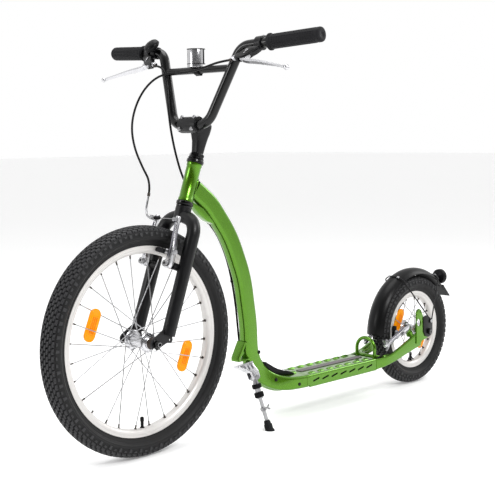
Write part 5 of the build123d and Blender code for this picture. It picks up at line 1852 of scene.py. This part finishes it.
class SCOOTER_OT_axle_ends(Builder, bpy.types.Operator):
    """Build the washers, nuts and cone covers of both axles"""
    bl_idname = "scooter.axle_ends"
    bl_label = "Axle ends"

    def build(self):
        make_axle_ends("front", FRONT_WHEEL, 36.3, 54, 66, "steering")
        make_axle_ends("rear", REAR_WHEEL, 36.3, 60, 71, "frame")


class SCOOTER_OT_steering(Builder, bpy.types.Operator):
    """Build the headset, stem, grips and handlebar fittings"""
    bl_idname = "scooter.steering"
    bl_label = "Stem, headset and grips"

    def build(self):
        make_grips()
        make_stem()
        make_headset()


class SCOOTER_OT_levers(Builder, bpy.types.Operator):
    """Build the brake levers with their brackets and barrels"""
    bl_idname = "scooter.levers"
    bl_label = "Brake levers"

    def build(self):
        make_levers()


class SCOOTER_OT_bell(Builder, bpy.types.Operator):
    """Build the bell"""
    bl_idname = "scooter.bell"
    bl_label = "Bell"

    def build(self):
        make_bell()


class SCOOTER_OT_front_reflector(Builder, bpy.types.Operator):
    """Build the reflector on the crossbar"""
    bl_idname = "scooter.front_reflector"
    bl_label = "Front reflector"

    def build(self):
        make_front_reflector()


class SCOOTER_OT_brakes(Builder, bpy.types.Operator):
    """Build the front and rear rim brakes"""
    bl_idname = "scooter.brakes"
    bl_label = "Rim brakes"

    def build(self):
        make_brakes()


class SCOOTER_OT_cables(Builder, bpy.types.Operator):
    """Build the brake cables' housings and ferrules"""
    bl_idname = "scooter.cables"
    bl_label = "Brake cables"

    def build(self):
        make_cables()


class SCOOTER_OT_main_tube(Builder, bpy.types.Operator):
    """Build the main tube, the head tube and their welds and plugs"""
    bl_idname = "scooter.main_tube"
    bl_label = "Main tube"

    def build(self):
        make_main_tube()


class SCOOTER_OT_deck(Builder, bpy.types.Operator):
    """Build the deck with its louvres, nose, strip and cover"""
    bl_idname = "scooter.deck"
    bl_label = "Deck"

    def build(self):
        make_deck_plate()
        make_nose()
        make_deck_trim()


class SCOOTER_OT_rear_arms(Builder, bpy.types.Operator):
    """Build the rear arms with their dropouts, and the hoop round the brake"""
    bl_idname = "scooter.rear_arms"
    bl_label = "Rear arms"

    def build(self):
        make_rear_arms()


class SCOOTER_OT_mudguard(Builder, bpy.types.Operator):
    """Build the mudguard's edges and stays, and the rear reflector"""
    bl_idname = "scooter.mudguard"
    bl_label = "Mudguard"

    def build(self):
        make_mudguard()
        make_rear_reflector()


class SCOOTER_OT_kickstand(Builder, bpy.types.Operator):
    """Build the kickstand and its bracket"""
    bl_idname = "scooter.kickstand"
    bl_label = "Kickstand"

    def build(self):
        make_stand_bracket()
        make_stand_leg()


class SCOOTER_OT_stage(Builder, bpy.types.Operator):
    """Build the floor, lights and camera, and finish the solids that stay in view"""
    bl_idname = "scooter.stage"
    bl_label = "Stage"

    def build(self):
        finish_solids()
        make_floor()
        make_sky()
        make_lights()
        make_camera()


OPERATORS = [
    SCOOTER_OT_wheels, SCOOTER_OT_axle_ends, SCOOTER_OT_steering, SCOOTER_OT_levers, SCOOTER_OT_bell,
    SCOOTER_OT_front_reflector, SCOOTER_OT_brakes, SCOOTER_OT_cables, SCOOTER_OT_main_tube,
    SCOOTER_OT_deck, SCOOTER_OT_rear_arms, SCOOTER_OT_mudguard, SCOOTER_OT_kickstand,
    SCOOTER_OT_stage,
]


class SCOOTER_PT_build(bpy.types.Panel):
    """Sizes, colours and building steps of the scooter"""
    bl_idname = "SCOOTER_PT_build"
    bl_label = "Kick scooter"
    bl_space_type = "VIEW_3D"
    bl_region_type = "UI"
    bl_category = "Scooter"

    def draw(self, context):
        for name in ScooterSettings.__annotations__:
            self.layout.prop(context.scene.scooter, name)
        for operator in OPERATORS:
            self.layout.operator(operator.bl_idname)


def register():
    """Make the settings, operators and panel known to Blender."""
    for kind in [ScooterSettings, *OPERATORS, SCOOTER_PT_build]:
        bpy.utils.register_class(kind)
    bpy.types.Scene.scooter = PointerProperty(type=ScooterSettings)


def unregister():
    """Take them away again."""
    del bpy.types.Scene.scooter
    for kind in reversed([ScooterSettings, *OPERATORS, SCOOTER_PT_build]):
        bpy.utils.unregister_class(kind)


def main():
    """Build every piece in order."""
    register()
    for operator in OPERATORS:
        getattr(bpy.ops.scooter, operator.bl_idname.split(".")[1])()


if __name__ == "__main__":
    main()
